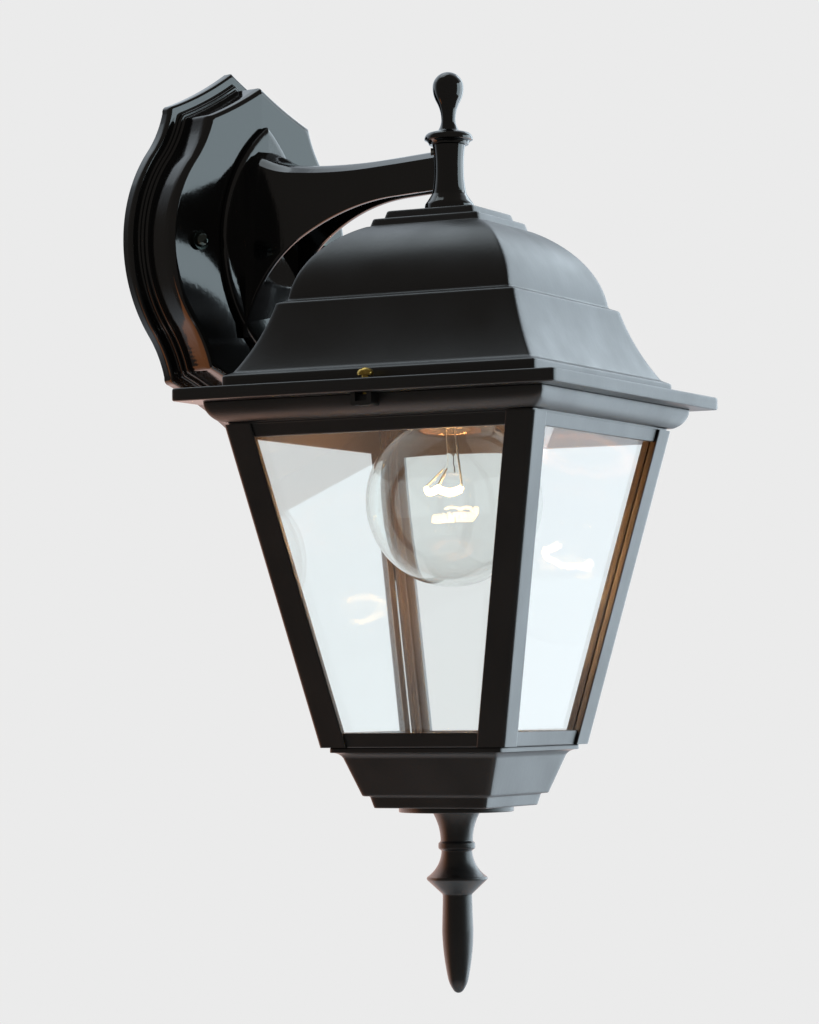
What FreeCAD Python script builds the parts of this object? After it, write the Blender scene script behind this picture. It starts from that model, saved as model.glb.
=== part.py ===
"""Cast wall lantern on a curved arm, with its E27 holder and clear bulb. Sizes in millimetres.

Frame: the wall is the plane y = 0 and +Y points into it, +Z is up, and the origin is the middle
of the back plate on the wall. The lantern hangs from the arm's column, turned on its own axis.
"""
import FreeCAD
import Part
import math
import os

# Where the lantern hangs
axis_reach = 121.0          # wall to the lantern's axis
brim_drop = 62.0            # plate centre down to the top of the roof's brim
lantern_turn = 19.2         # degrees that the lantern stands turned on its column

# Clearances
swivel_gap = 0.3            # between what turns with the lantern and what stays with the arm
seat_gap = 0.3              # glass in its grooves
slip = 0.15                 # a shank in its plain hole, on the radius

head_top_share = 0.55       # a screw head's flat top, as a share of its radius
overrun = 1.0               # how far a cutter or a root passes the face that it meets

# Roof: square in plan, from the brim up to the cap
brim_overhang = 13.3        # brim beyond the top of the cage's frame
brim_thick = 4.6
plinth_overhang = 0.6       # plinth beyond the top of the cage's frame
plinth_height = 4.5
plinth_ledge = 2.8          # from the plinth's edge in to the foot of the flare
plinth_bevel = 1.2
flare_run = 11.2            # how far the flare draws in
flare_rise = 24.7
flare_hollow = 1.1          # depth of the flare's concave arc
shoulder_run = 3.0
shoulder_rise = 1.0
dome_run = 9.8
dome_rise = 19.6
dome_swell = 1.9            # height of the dome's lower convex arc over its chord
dome_top_run = 10.8
dome_top_rise = 7.2
dome_top_swell = 0.6
cap_lower_inset = 0.9
cap_lower_rise = 2.9
cap_upper_inset = 3.7
cap_upper_rise = 3.0
cap_draft = 0.9
roof_wall = 2.8

# Roof screws and their lugs on the cage
roof_screw_radius = 1.9
roof_screw_head_radius = 2.9
roof_screw_head_height = 3.4
lug_width = 7.8
lug_height = 3.8
lug_nose = 3.7              # lug beyond the screw's axis
lug_slot_width = 4.4

# Cage: tapered square frame under the brim
cornice_top_overhang = 5.5  # cornice beyond the frame, at its top and at its foot
cornice_foot_overhang = 0.7
cornice_height = 7.9
cornice_swell = 1.3
frame_top_half = 59.2
frame_foot_half = 35.5
frame_height = 112.2
reveal_depth = 0.9          # slit between the cornice and the top rail
reveal_height = 0.8
cage_wall = 2.4
post_width = 10.5           # corner post on each face
rail_recess = 1.0           # rails lie this far behind the posts
top_rail_height = 4.5
bottom_rail_height = 5.1
opening_corner_radius = 1.5
ledge_thick = 2.2
ledge_half = 21.0

# Glass and the grooves that hold it
glass_thick = 2.5
glass_lap = 3.5             # glass behind each post
groove_lip_thick = 1.4
groove_lip_lap = 1.5

# Base cup
cup_flange_half = 33.1
cup_flange_thick = 1.8
cup_neck_half = 29.5
cup_neck_drop = 4.2
cup_foot_half = 24.8
cup_foot_drop = 17.1
cup_step_half = 22.9
cup_bottom_half = 21.8
cup_bottom_drop = 21.3
cup_wall = 2.5
cup_floor = 3.0
cup_cove = 0.8
seat_disc_radius = 20.3
seat_disc_thick = 1.8
base_screw_place = 24.6
base_screw_radius = 1.5
base_screw_head_radius = 2.6
base_screw_head_height = 1.8
base_screw_length = 8.0
base_boss_radius = 3.4

# Bottom finial: radii and lengths of the turned profile, from its seat down
drop_top_radius = 8.5
drop_neck_radius = 5.65
drop_neck_length = 10.2
drop_neck_hollow = 0.7
drop_bead_radius = 6.5
drop_bead_bevel = 0.8
drop_bead_length = 1.8
drop_waist_radius = 5.4
drop_bell_length = 9.3
drop_bell_hollow = 1.3
drop_disc_radius = 10.7
drop_disc_edge = 0.8
drop_cone_length = 5.2
drop_shank_radius = 5.15
drop_shank_length = 1.3
drop_belly_radius = 5.5
drop_belly_length = 11.4
drop_taper_radius = 3.55
drop_taper_length = 17.0
drop_taper_swell = 0.4
drop_tip_radius = 1.7
drop_tip_length = 3.9
drop_tip_rise = 0.9
finial_stud_radius = 2.9
finial_stud_depth = 9.0
finial_nut_across = 10.0
finial_nut_height = 5.0
finial_stud_end = 1.0       # stud beyond the nut

# Column at the end of the arm: radii, with heights above the cap
column_ring_radius = 8.8
column_ring_height = 2.6
column_cove_radius = 7.4
column_cove_height = 4.5
column_foot_radius = 6.25
column_foot_height = 6.3
column_waist_radius = 5.25
column_waist_height = 15.6
column_foot_hollow = 0.3    # depth of the concave arcs under and over the waist
column_top_hollow = 0.2
column_top_radius = 5.9
column_height = 24.0

# Top finial: radii, with heights above the column
collar_foot_radius = 7.1
collar_foot_height = 0.4
collar_radius = 8.6
collar_height = 1.7
collar_hollow = 0.2
collar_top_radius = 7.2
collar_top_height = 4.2
collar_top_swell = 0.5
neck_foot_radius = 3.8
neck_foot_height = 5.1
neck_radius = 2.55
neck_height = 9.6
neck_hollow = 0.4
neck_top_radius = 4.2
neck_top_height = 15.4
neck_top_hollow = 0.35
ball_radius = 5.5
ball_centre_height = 20.6
ball_foot_swell = 0.35      # below its middle the ball runs out into the neck
spigot_radius = 3.0
spigot_length = 6.0

# Set screw that locks the top finial
set_screw_angle = 134.0     # round the column, from +X
set_screw_height = 22.0     # above the cap
set_screw_radius = 1.2
set_screw_head_radius = 1.8
set_screw_head_height = 2.52
set_screw_stand = 1.0       # neck between the column and the head

# Threaded tube, washer and nut under the roof's cap
tube_radius = 3.9
tube_bore_radius = 2.6
tube_engagement = 8.0       # in the column
tube_in_holder = 7.0
washer_radius = 8.0
washer_thick = 1.2
nut_across = 13.0
nut_height = 4.0

# Arm: distances from the wall, heights from the plate's centre
arm_top_drop = 1.5          # column's top down to the arm's level top
arm_height = 14.5           # at the column
arm_half = 4.0              # half-width at the column
arm_level_top = 37.0        # level stretches, back from the column's axis
arm_level_bottom = 25.0
arm_level_side = 13.0
arm_mid_top = 44.0          # where each curve changes, from the wall
arm_mid_top_rise = 2.7
arm_mid_bottom = 50.0
arm_mid_bottom_fall = 10.4
arm_mid_side = 52.0
arm_mid_half = 7.1
arm_root_rise = 11.7        # the root's top over the level top
arm_root_fall = 45.4        # the root's foot under the level underside
arm_root_half = 11.6
arm_root_sink = 1.4         # the root starts inside the flange, this far off the pan
arm_arch_spring = 1.9       # the root's arched top starts this far under the level top
arm_arch_rise = 13.6
arm_arch_half = 12.6
arm_arch_swell = 2.2        # height of the arch's sides over their chords
arm_top_bevel = 1.9
channel_wall = 1.7
channel_roof = 3.0
channel_root = 9.0          # solid root between the flange and the channel
channel_stop = 9.0          # the channel ends this far from the column's axis
wire_port_half = 2.2
wire_port_sill = 0.2        # port above the arm's underside
wire_port_head = 5.3        # port below the arm's top

# Arm flange: pointed oval on the pan
flange_half = 20.8
flange_top = 44.7
flange_bottom = -43.0
flange_thick = 3.6          # along the centre crease
flange_fall = 0.085         # slope of its two faces

# Back plate: outline points of one quarter, then depths from the wall
plate_bulge = 50.2
plate_neck = (38.3, 34.5)
plate_corner_low = (30.9, 49.5)
plate_corner_high = (28.8, 52.4)
plate_corner_swell = 0.8
plate_apex = 67.6
plate_edge_hollow = 0.9
rim_depth = 4.8
step_inset = 3.9
step_depth = 6.6
pan_inset = 5.9
pan_crest = 21.6
pan_fall = 0.028            # slope of the pan's two faces
plate_wall = 2.8

# Wall bracket and what is fixed to it
strap_end = 5.5             # strap beyond each stud
strap_half_width = 9.0
strap_thick = 2.0
slot_place = 18.0           # middle of each wall slot
slot_radius = 2.4
slot_length = 10.0
stud_inset = 19.2           # from the plate's widest edge
stud_radius = 2.0
cap_nut_radius = 2.8
cap_nut_flange_radius = 3.6
cap_nut_flange_thick = 1.4
cap_nut_height = 3.4
earth_offset = 4.5          # from the stud towards the middle
earth_screw_radius = 1.5
earth_head_radius = 2.1
earth_head_height = 1.8

# Mains block, its screws and the screws of the arm
block_half_length = 12.0
block_half_width = 8.0
block_depth = 11.0
block_pole_pitch = 8.0
block_screw_row = 4.4
block_screw_radius = 1.7
block_well_depth = 4.0
block_groove_width = 1.0
block_groove_depth = 2.0
arm_screw_high = 27.0
arm_screw_low = -15.0
arm_screw_radius = 2.0
arm_screw_head_radius = 3.5
arm_screw_head_height = 2.6
arm_screw_grip = 8.0

# Lead in the arm: from the block up to its hole, along the channel, and down the tube
lead_radius = 1.6
lead_depth = 8.0            # where it leaves the block, from the wall
lead_hole_radius = 3.2
lead_hole_height = 17.9
lead_turn_rise = 2.2        # over the port's sill, where it turns down
lead_turn_radius = 3.4
lead_bend_radius = 7.5
lead_in_holder = 3.0

# Lamp holder: measured down from its top
holder_neck_radius = 8.0
holder_neck_height = 3.0
holder_shoulder_drop = 13.0
holder_shoulder_inset = 3.0
holder_shoulder_rise = 6.2
holder_cap_height = 17.0
holder_length = 42.0
holder_wall = 2.0
insert_wall = 3.2
insert_neck_wall = 0.9
insert_top_drop = 10.4
insert_disc_thick = 1.8
sleeve_wall = 0.6
thread_gap = 0.5            # bulb's cap in the sleeve
sleeve_top_drop = 16.5
contact_width = 5.0
contact_thick = 0.5
contact_half_length = 8.0
contact_spring = 1.2        # contact's tongue below the insert's disc

# Bulb: overall length and radii
bulb_length = 105.0
bulb_radius = 30.4
bulb_neck_radius = 17.0
bulb_neck_hollow = 1.2
cement_gap = 0.2            # envelope inside the cap
cap_grip = 2.5              # how far the envelope reaches into the cap
glass_wall = 0.6
bulb_cap_radius = 13.2
bulb_cap_length = 22.5
bulb_cap_wall = 0.4
insulator_radius = 10.0
insulator_height = 2.2
insulator_rim = 1.0         # insulator's top beyond the contact
cap_lid_lap = 2.0           # cap's lid under the insulator
tip_radius = 4.6
tip_height = 1.5
stem_flare_drop = 9.0
stem_wall = 1.0
stem_seal_gap = 0.1         # stem's rim in the bulb's throat
stem_radius = 3.4
stem_press_drop = 22.0
stem_rod_radius = 1.8
stem_rod_length = 16.5
button_radius = 2.4
button_height = 2.4
wire_radius = 0.3
wire_gap = 0.15             # between a wire and the glass that holds it
mount_turn = 45.0           # degrees that the bulb's mount stands turned
filament_radius = 0.5
filament_ring = 8.8         # radius of the open ring that the filament lies in
filament_opening = 130.0    # degrees of the ring that stay open
filament_rise = 5.2         # above the middle of the ball
support_count = 3

Z_AXIS = FreeCAD.Vector(0, 0, 1)
ORIGIN = FreeCAD.Vector(0, 0, 0)

# Roof outline, as half-widths and heights above the brim's top
brim_half = frame_top_half + brim_overhang
plinth_half = frame_top_half + plinth_overhang
cornice_top_half = frame_top_half + cornice_top_overhang
cornice_foot_half = frame_top_half + cornice_foot_overhang
flare_foot_half = plinth_half - plinth_ledge
flare_foot_height = plinth_height + plinth_bevel
flare_top_half = flare_foot_half - flare_run
flare_top_height = flare_foot_height + flare_rise
shoulder_half = flare_top_half - shoulder_run
shoulder_height = flare_top_height + shoulder_rise
dome_break_half = shoulder_half - dome_run
dome_break_height = shoulder_height + dome_rise
dome_top_half = dome_break_half - dome_top_run
dome_top_height = dome_break_height + dome_top_rise
cap_lower_half = dome_top_half - cap_lower_inset
cap_lower_height = dome_top_height + cap_lower_rise
cap_upper_half = cap_lower_half - cap_upper_inset
cap_upper_height = cap_lower_height + cap_upper_rise
roof_screw_offset = (plinth_half + brim_half) / 2
lug_reach = roof_screw_offset + lug_nose

# Holder and bulb fits
insert_bore_radius = bulb_cap_radius + thread_gap + sleeve_wall
holder_radius = insert_bore_radius + insert_wall + holder_wall
holder_shoulder_radius = holder_radius - holder_shoulder_inset
tip_drop = insert_top_drop + insert_disc_thick + contact_spring
bulb_throat_radius = bulb_cap_radius - bulb_cap_wall - cement_gap

# Levels of the lantern's parts in the part's frame
brim_level = -brim_drop
cap_level = brim_level + cap_upper_height
column_level = cap_level + swivel_gap
ceiling_level = brim_level + dome_top_height - roof_wall
nut_level = ceiling_level - swivel_gap - washer_thick - nut_height
holder_level = nut_level
tip_level = holder_level - tip_drop
bulb_foot_level = tip_level - bulb_length
ball_level = bulb_foot_level + bulb_radius
cage_level = brim_level - brim_thick
frame_level = cage_level - cornice_height
foot_level = frame_level - frame_height
cup_level = foot_level
cup_bottom_level = cup_level - cup_bottom_drop
drop_level = cup_bottom_level - seat_disc_thick
frame_slope = (frame_top_half - frame_foot_half) / frame_height

# Arm and plate places
arm_top = column_level + column_height - arm_top_drop
arm_bottom = arm_top - arm_height
arm_root_top = arm_top + arm_root_rise
arm_root_bottom = arm_bottom - arm_root_fall
arm_root_start = pan_crest + arm_root_sink
flange_crest = pan_crest + flange_thick
channel_start = arm_root_start + channel_root
channel_end = axis_reach - channel_stop
wire_port_low = arm_bottom + wire_port_sill
wire_port_high = arm_top - wire_port_head
stud_place = plate_bulge - stud_inset
strap_half_length = stud_place + strap_end
earth_place = stud_place - earth_offset


def in_side(a, b):
    """Profile plane across the lantern's axis: a to the side, b up."""
    return FreeCAD.Vector(a, 0, b)


def in_side_mirrored(a, b):
    return FreeCAD.Vector(-a, 0, b)


def in_arm_side(a, b):
    """Side view of the arm: a from the wall, b up."""
    return FreeCAD.Vector(0, -a, b)


def trace(space, start, moves, heading=None):
    """Edges through a list of moves: line, bow (arc of given height), flow (tangent arc)."""
    edges = []
    here = start
    for move in moves:
        there = move[1]
        run = (there[0] - here[0], there[1] - here[1])
        length = math.hypot(*run)
        along = (run[0] / length, run[1] / length)
        if move[0] == "line":
            edges.append(Part.LineSegment(space(*here), space(*there)).toShape())
            heading = along
        else:
            middle = ((here[0] + there[0]) / 2, (here[1] + there[1]) / 2)
            if move[0] == "bow":
                side = (-along[1] * move[2], along[0] * move[2])
            else:
                forward = heading[0] * along[0] + heading[1] * along[1]
                across = (heading[0] - forward * along[0], heading[1] - forward * along[1])
                rise = math.hypot(*across)
                height = length / 2 * math.tan(math.atan2(rise, forward) / 2)
                side = (across[0] / rise * height, across[1] / rise * height)
                heading = (2 * forward * along[0] - heading[0], 2 * forward * along[1] - heading[1])
            via = (middle[0] + side[0], middle[1] + side[1])
            edges.append(Part.Arc(space(*here), space(*via), space(*there)).toShape())
        here = there
    return edges


def face_of(edges):
    return Part.Face(Part.Wire(Part.__sortEdges__(edges)))


def turned(start, moves, level=0.0):
    """Solid of revolution about the lantern's axis; the profile is closed along the axis."""
    end = moves[-1][1]
    closing = []
    if end[0] > 0:
        closing.append(("line", (0.0, end[1])))
    closing.append(("line", (0.0, start[1])))
    if start[0] > 0:
        closing.append(("line", start))
    solid = face_of(trace(in_side, start, list(moves) + closing)).revolve(ORIGIN, Z_AXIS, 360)
    return on_axis(solid, level)


def squared(start, moves, reach):
    """Square-plan solid: a half profile, mirrored, crossed with itself so that the corners mitre."""
    end = moves[-1][1]
    halves = []
    for space in (in_side, in_side_mirrored):
        path = [("line", start)] + list(moves)
        if end[0] > 0:
            path.append(("line", (0.0, end[1])))
        halves += trace(space, (0.0, start[1]), path)
    bar = face_of(halves).extrude(FreeCAD.Vector(0, 2 * reach, 0))
    bar.translate(FreeCAD.Vector(0, -reach, 0))
    cross = bar.copy()
    cross.rotate(ORIGIN, Z_AXIS, 90)
    return bar.common(cross)


def on_axis(shape, level=0.0):
    """Moves a piece made about the origin to the lantern's axis, at a level."""
    shape.translate(FreeCAD.Vector(0, -axis_reach, level))
    return shape


def in_lantern(shape, level=0.0):
    """As on_axis, and turned with the lantern."""
    shape.rotate(ORIGIN, Z_AXIS, lantern_turn)
    return on_axis(shape, level)


def rod(radius, start, end):
    run = end - start
    return Part.makeCylinder(radius, run.Length, start, run)


def hexagon(across, height, start):
    corners = []
    for k in range(7):
        turn = math.radians(60 * k)
        reach = across / math.sqrt(3)
        corners.append(start + FreeCAD.Vector(reach * math.cos(turn), reach * math.sin(turn), 0))
    return Part.Face(Part.makePolygon(corners)).extrude(FreeCAD.Vector(0, 0, height))


def depth(distance, x=0.0, z=0.0):
    """Point at a distance from the wall."""
    return FreeCAD.Vector(x, -distance, z)


def united(shapes):
    whole = shapes[0]
    for shape in shapes[1:]:
        whole = whole.fuse(shape)
    return whole.removeSplitter()


def four_round(shape):
    copies = []
    for k in range(4):
        copy = shape.copy()
        copy.rotate(ORIGIN, Z_AXIS, 90 * k)
        copies.append(copy)
    return copies


# Roof
def roof():
    outer = squared((brim_half, -brim_thick), [
        ("line", (brim_half, 0.0)),
        ("line", (plinth_half, 0.0)),
        ("line", (plinth_half, plinth_height)),
        ("line", (flare_foot_half, flare_foot_height)),
        ("bow", (flare_top_half, flare_top_height), flare_hollow),
        ("line", (shoulder_half, shoulder_height)),
        ("bow", (dome_break_half, dome_break_height), -dome_swell),
        ("bow", (dome_top_half, dome_top_height), -dome_top_swell),
        ("line", (cap_lower_half, dome_top_height)),
        ("line", (cap_lower_half - cap_draft, cap_lower_height)),
        ("line", (cap_upper_half, cap_lower_height)),
        ("line", (cap_upper_half - cap_draft, cap_upper_height)),
    ], brim_half + overrun)
    inner = squared((flare_foot_half - roof_wall, -brim_thick), [
        ("line", (flare_foot_half - roof_wall, flare_foot_height)),
        ("bow", (flare_top_half - roof_wall, flare_top_height), flare_hollow),
        ("line", (shoulder_half - roof_wall, shoulder_height)),
        ("bow", (dome_break_half - roof_wall, dome_break_height - roof_wall / 2), -dome_swell),
        ("line", (dome_top_half - roof_wall, dome_top_height - roof_wall)),
    ], brim_half + overrun)
    bore = Part.makeCylinder(tube_radius + swivel_gap, 2 * cap_upper_height)
    shell = outer.cut(inner).cut(bore)
    for side in (-1, 1):
        place = FreeCAD.Vector(side * roof_screw_offset, 0, -brim_thick)
        shell = shell.cut(Part.makeCylinder(roof_screw_radius + slip, brim_thick, place))
    return in_lantern(shell, brim_level)


def roof_screws():
    screws = []
    for side in (-1, 1):
        place = FreeCAD.Vector(side * roof_screw_offset, 0, 0)
        head = button_head(roof_screw_head_radius, roof_screw_head_height)
        head.translate(place)
        end = place - Z_AXIS * (brim_thick + lug_height)
        screws.append(united([head, rod(roof_screw_radius, end, place)]))
    return in_lantern(Part.makeCompound(screws), brim_level)


def dome_bow(radius, rise):
    """Height of a ball's arc over its chord, from a rim of this radius up to the axis."""
    ball = (radius ** 2 + rise ** 2) / (2 * rise)
    half_chord = math.hypot(radius, rise) / 2
    return ball - math.sqrt(ball ** 2 - half_chord ** 2)


def button_head(radius, height):
    """Screw head on the plane z = 0: a straight edge under a bevelled top."""
    edge = height / 2
    return united([Part.makeCylinder(radius, edge),
                   Part.makeCone(radius, radius * head_top_share, height - edge,
                                 FreeCAD.Vector(0, 0, edge))])


# Cage, in levels below its own top
def frame_half_at(level):
    """Half-width of the frame's outer face at a level of the part."""
    return frame_foot_half + (level - foot_level) * frame_slope


def slanted_plate(outer_inset, inner_inset, half_inset, low, high):
    """Flat trapezium on the +X face: insets from the frame's face, and from its corners."""
    plate = []
    for inset in (outer_inset, inner_inset):
        plate.append([(frame_half_at(low) - inset, low), (frame_half_at(high) - inset, high)])
    (a, b), (c, d) = plate
    section = face_of(trace(in_side, a, [("line", b), ("line", d), ("line", c), ("line", a)]))
    bar = section.extrude(FreeCAD.Vector(0, 4 * frame_top_half, 0))
    bar.translate(FreeCAD.Vector(0, -2 * frame_top_half, 0))
    low_half = frame_half_at(low) - half_inset
    high_half = frame_half_at(high) - half_inset
    outline = Part.makePolygon([
        FreeCAD.Vector(0, -low_half, low), FreeCAD.Vector(0, low_half, low),
        FreeCAD.Vector(0, high_half, high), FreeCAD.Vector(0, -high_half, high),
        FreeCAD.Vector(0, -low_half, low)])
    return bar.common(Part.Face(outline).extrude(FreeCAD.Vector(2 * frame_top_half, 0, 0)))


def corner_bar(near, far, low, high):
    """Leaning square bar in the +X +Y corner; near and far are insets of its (x, y) sides."""
    wires = []
    for level in (low, high):
        half = frame_half_at(level)
        x0, y0 = half - near[0], half - near[1]
        x1, y1 = half - far[0], half - far[1]
        wires.append(Part.makePolygon([FreeCAD.Vector(x, y, level) for x, y in (
            (x0, y0), (x1, y0), (x1, y1), (x0, y1), (x0, y0))]))
    return Part.makeLoft(wires, True, True)


def cage():
    slant = 1 / math.cos(math.atan(frame_slope))
    outer = squared((frame_foot_half, foot_level), [
        ("line", (frame_top_half, frame_level)),
        ("line", (frame_top_half - reveal_depth, frame_level)),
        ("line", (frame_top_half - reveal_depth, frame_level + reveal_height)),
        ("line", (cornice_foot_half, frame_level + reveal_height)),
        ("bow", (cornice_top_half, cage_level), -cornice_swell),
    ], brim_half)
    wall = cage_wall * slant
    ledge_top = foot_level + ledge_thick
    inner = squared((frame_half_at(ledge_top) - wall, ledge_top), [
        ("line", (frame_half_at(cage_level) - wall, cage_level))], brim_half)
    throat = Part.makeBox(2 * ledge_half, 2 * ledge_half, 2 * ledge_thick,
                          FreeCAD.Vector(-ledge_half, -ledge_half, foot_level - ledge_thick / 2))
    shell = outer.cut(inner).cut(throat)
    low = foot_level + bottom_rail_height
    high = frame_level - top_rail_height
    recess = slanted_plate(-rail_recess, rail_recess * slant, post_width, foot_level, frame_level)
    opening = slanted_plate(-rail_recess, 2 * wall, post_width, low, high)
    upright = [e for e in opening.Edges if e.BoundBox.ZLength < 1e-3 and e.BoundBox.YLength < 1e-3
               or abs(e.BoundBox.YLength) < 1e-3 and e.BoundBox.ZLength < 2 * wall]
    opening = opening.makeFillet(opening_corner_radius, upright)
    for cutter in four_round(recess) + four_round(opening):
        shell = shell.cut(cutter)
    pane_out = wall + seat_gap
    pane_in = pane_out + glass_thick * slant
    pane_end = post_width - glass_lap
    lip_out = pane_in + seat_gap
    lip_in = lip_out + groove_lip_thick
    rib = united([
        corner_bar((lip_in, lip_in), (wall / 2, wall / 2), ledge_top - ledge_thick / 2, cage_level),
        corner_bar((lip_in, pane_end + groove_lip_lap), (lip_out, wall), ledge_top - ledge_thick / 2,
                   cage_level),
        corner_bar((pane_end + groove_lip_lap, lip_in), (wall, lip_out), ledge_top - ledge_thick / 2,
                   cage_level)])
    panes = four_round(pane_blank(seat_gap))
    for bar in four_round(rib):
        for pane in panes:
            bar = bar.cut(pane)
        shell = shell.fuse(bar)
    for side in (0, 180):
        lug = cage_lug()
        lug.rotate(ORIGIN, Z_AXIS, side)
        shell = shell.fuse(lug)
        hole = Part.makeCylinder(roof_screw_radius + slip, lug_height,
                                 FreeCAD.Vector(roof_screw_offset, 0, cage_level - lug_height))
        hole.rotate(ORIGIN, Z_AXIS, side)
        shell = shell.cut(hole)
    for place in base_screw_places():
        shell = shell.cut(Part.makeCylinder(base_screw_radius + slip, 2 * ledge_thick,
                                            place + FreeCAD.Vector(0, 0, foot_level - ledge_thick / 2)))
    return in_lantern(shell.removeSplitter())


def cage_lug():
    start = cornice_foot_half - cage_wall / 2
    block = Part.makeBox(lug_reach - start, lug_width, lug_height,
                         FreeCAD.Vector(start, -lug_width / 2, cage_level - lug_height))
    slot = Part.makeBox(lug_reach, lug_slot_width, lug_height,
                        FreeCAD.Vector(roof_screw_offset - roof_screw_radius, -lug_slot_width / 2,
                                       cage_level - lug_height / 4))
    return block.cut(slot)


def pane_blank(grown=0.0):
    """One pane on the +X side, at the lantern's axis; grown makes room around it."""
    slant = 1 / math.cos(math.atan(frame_slope))
    outer = cage_wall * slant + seat_gap - grown
    inner = cage_wall * slant + seat_gap + glass_thick * slant + grown
    low = foot_level + ledge_thick + seat_gap - grown
    high = cage_level - seat_gap + grown
    return slanted_plate(outer, inner, post_width - glass_lap - grown, low, high)


def pane(quarter):
    blank = pane_blank()
    blank.rotate(ORIGIN, Z_AXIS, 90 * quarter)
    return in_lantern(blank)


# Base cup and bottom finial
def base_screw_places():
    return [FreeCAD.Vector(x * base_screw_place, y * base_screw_place, 0)
            for x in (-1, 1) for y in (-1, 1)]


def base_cup():
    outer = squared((cup_bottom_half, -cup_bottom_drop), [
        ("line", (cup_step_half, -cup_foot_drop)),
        ("line", (cup_foot_half, -cup_foot_drop)),
        ("line", (cup_neck_half, -cup_neck_drop)),
        ("bow", (cup_flange_half, -cup_flange_thick), cup_cove),
        ("line", (cup_flange_half, 0.0)),
    ], cup_flange_half + overrun)
    inner = squared((cup_step_half - cup_wall, cup_floor - cup_bottom_drop), [
        ("line", (cup_foot_half - cup_wall, -cup_foot_drop + cup_wall)),
        ("line", (cup_neck_half - cup_wall, -cup_neck_drop)),
        ("line", (cup_neck_half - cup_wall, 0.0)),
    ], cup_flange_half + overrun)
    shell = outer.cut(inner)
    for place in base_screw_places():
        boss = Part.makeCylinder(base_boss_radius, base_screw_length,
                                 place - Z_AXIS * base_screw_length)
        shell = shell.fuse(boss.common(outer))
    for place in base_screw_places():
        shell = shell.cut(Part.makeCylinder(base_screw_radius, base_screw_length,
                                            place - Z_AXIS * base_screw_length))
    disc = Part.makeCylinder(seat_disc_radius, seat_disc_thick,
                             FreeCAD.Vector(0, 0, -cup_bottom_drop - seat_disc_thick))
    hole = Part.makeCylinder(finial_stud_radius + slip, cup_bottom_drop,
                             FreeCAD.Vector(0, 0, -cup_bottom_drop - seat_disc_thick))
    return in_lantern(shell.fuse(disc).cut(hole).removeSplitter(), cup_level)


def base_screws():
    screws = []
    for place in base_screw_places():
        head = button_head(base_screw_head_radius, base_screw_head_height)
        head.translate(place + Z_AXIS * ledge_thick)
        end = place - Z_AXIS * (base_screw_length - ledge_thick)
        screws.append(united([head, rod(base_screw_radius, end, place + Z_AXIS * ledge_thick)]))
    return in_lantern(Part.makeCompound(screws), foot_level)


def bottom_finial():
    profile = []
    depth_now = 0.0
    for kind, length, radius, hollow in (
            ("bow", drop_neck_length, drop_neck_radius, -drop_neck_hollow),
            ("line", drop_bead_bevel, drop_bead_radius, 0.0),
            ("line", drop_bead_length, drop_bead_radius, 0.0),
            ("line", drop_bead_bevel, drop_waist_radius, 0.0),
            ("bow", drop_bell_length, drop_disc_radius, -drop_bell_hollow),
            ("line", drop_disc_edge, drop_disc_radius, 0.0),
            ("line", drop_cone_length, drop_shank_radius, 0.0),
            ("line", drop_shank_length, drop_shank_radius, 0.0),
            ("line", drop_belly_length, drop_belly_radius, 0.0),
            ("bow", drop_taper_length, drop_taper_radius, drop_taper_swell),
            ("bow", drop_tip_length, drop_tip_radius, drop_taper_swell / 2),
            ("bow", drop_tip_rise, 0.0, dome_bow(drop_tip_radius, drop_tip_rise))):
        depth_now -= length
        profile.append((kind, (radius, depth_now), hollow))
    body = turned((drop_top_radius, 0.0), profile)
    hole = Part.makeCylinder(finial_stud_radius, finial_stud_depth,
                             FreeCAD.Vector(0, -axis_reach, -finial_stud_depth))
    body = body.cut(hole)
    body.translate(FreeCAD.Vector(0, 0, drop_level))
    return body


def finial_floor_level():
    return cup_bottom_level + cup_floor


def finial_stud():
    top = finial_floor_level() + finial_nut_height + finial_stud_end
    return on_axis(Part.makeCylinder(finial_stud_radius, top - drop_level + finial_stud_depth,
                                     FreeCAD.Vector(0, 0, drop_level - finial_stud_depth)))


def finial_nut():
    nut = hexagon(finial_nut_across, finial_nut_height, FreeCAD.Vector(0, 0, finial_floor_level()))
    bore = Part.makeCylinder(finial_stud_radius, finial_nut_height,
                             FreeCAD.Vector(0, 0, finial_floor_level()))
    return in_lantern(nut.cut(bore))


# Back plate
def plate_outline(inset, start, end):
    """Solid of the plate's outline, drawn in by an inset, between two distances from the wall."""
    quarter = [
        ("flow", plate_neck),
        ("flow", plate_corner_low),
        ("bow", plate_corner_high, -plate_corner_swell),
        ("bow", (0.0, plate_apex), plate_edge_hollow),
    ]
    edges = []
    for x in (1, -1):
        for z in (1, -1):
            def corner(a, b, x=x, z=z):
                return FreeCAD.Vector(x * a, -start, z * b)
            edges += trace(corner, (plate_bulge, 0.0), quarter, heading=(0.0, 1.0))
    wire = Part.Wire(Part.__sortEdges__(edges))
    if inset:
        wire = wire.makeOffset2D(-inset)
    return Part.Face(wire).extrude(FreeCAD.Vector(0, start - end, 0))


def ridged(crest, fall):
    """Everything between the wall and two faces that fall away from a centre crease."""
    side = 2 * plate_bulge
    tall = 2 * plate_apex
    points = [depth(0, -side), depth(0, side), depth(crest - fall * side, side), depth(crest),
              depth(crest - fall * side, -side), depth(0, -side)]
    solid = Part.Face(Part.makePolygon(points)).extrude(FreeCAD.Vector(0, 0, 2 * tall))
    solid.translate(FreeCAD.Vector(0, 0, -tall))
    return solid


def pan_face_at(x):
    return pan_crest - pan_fall * abs(x)


def plate_hollow_depth():
    return pan_crest - pan_fall * plate_bulge - plate_wall


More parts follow.
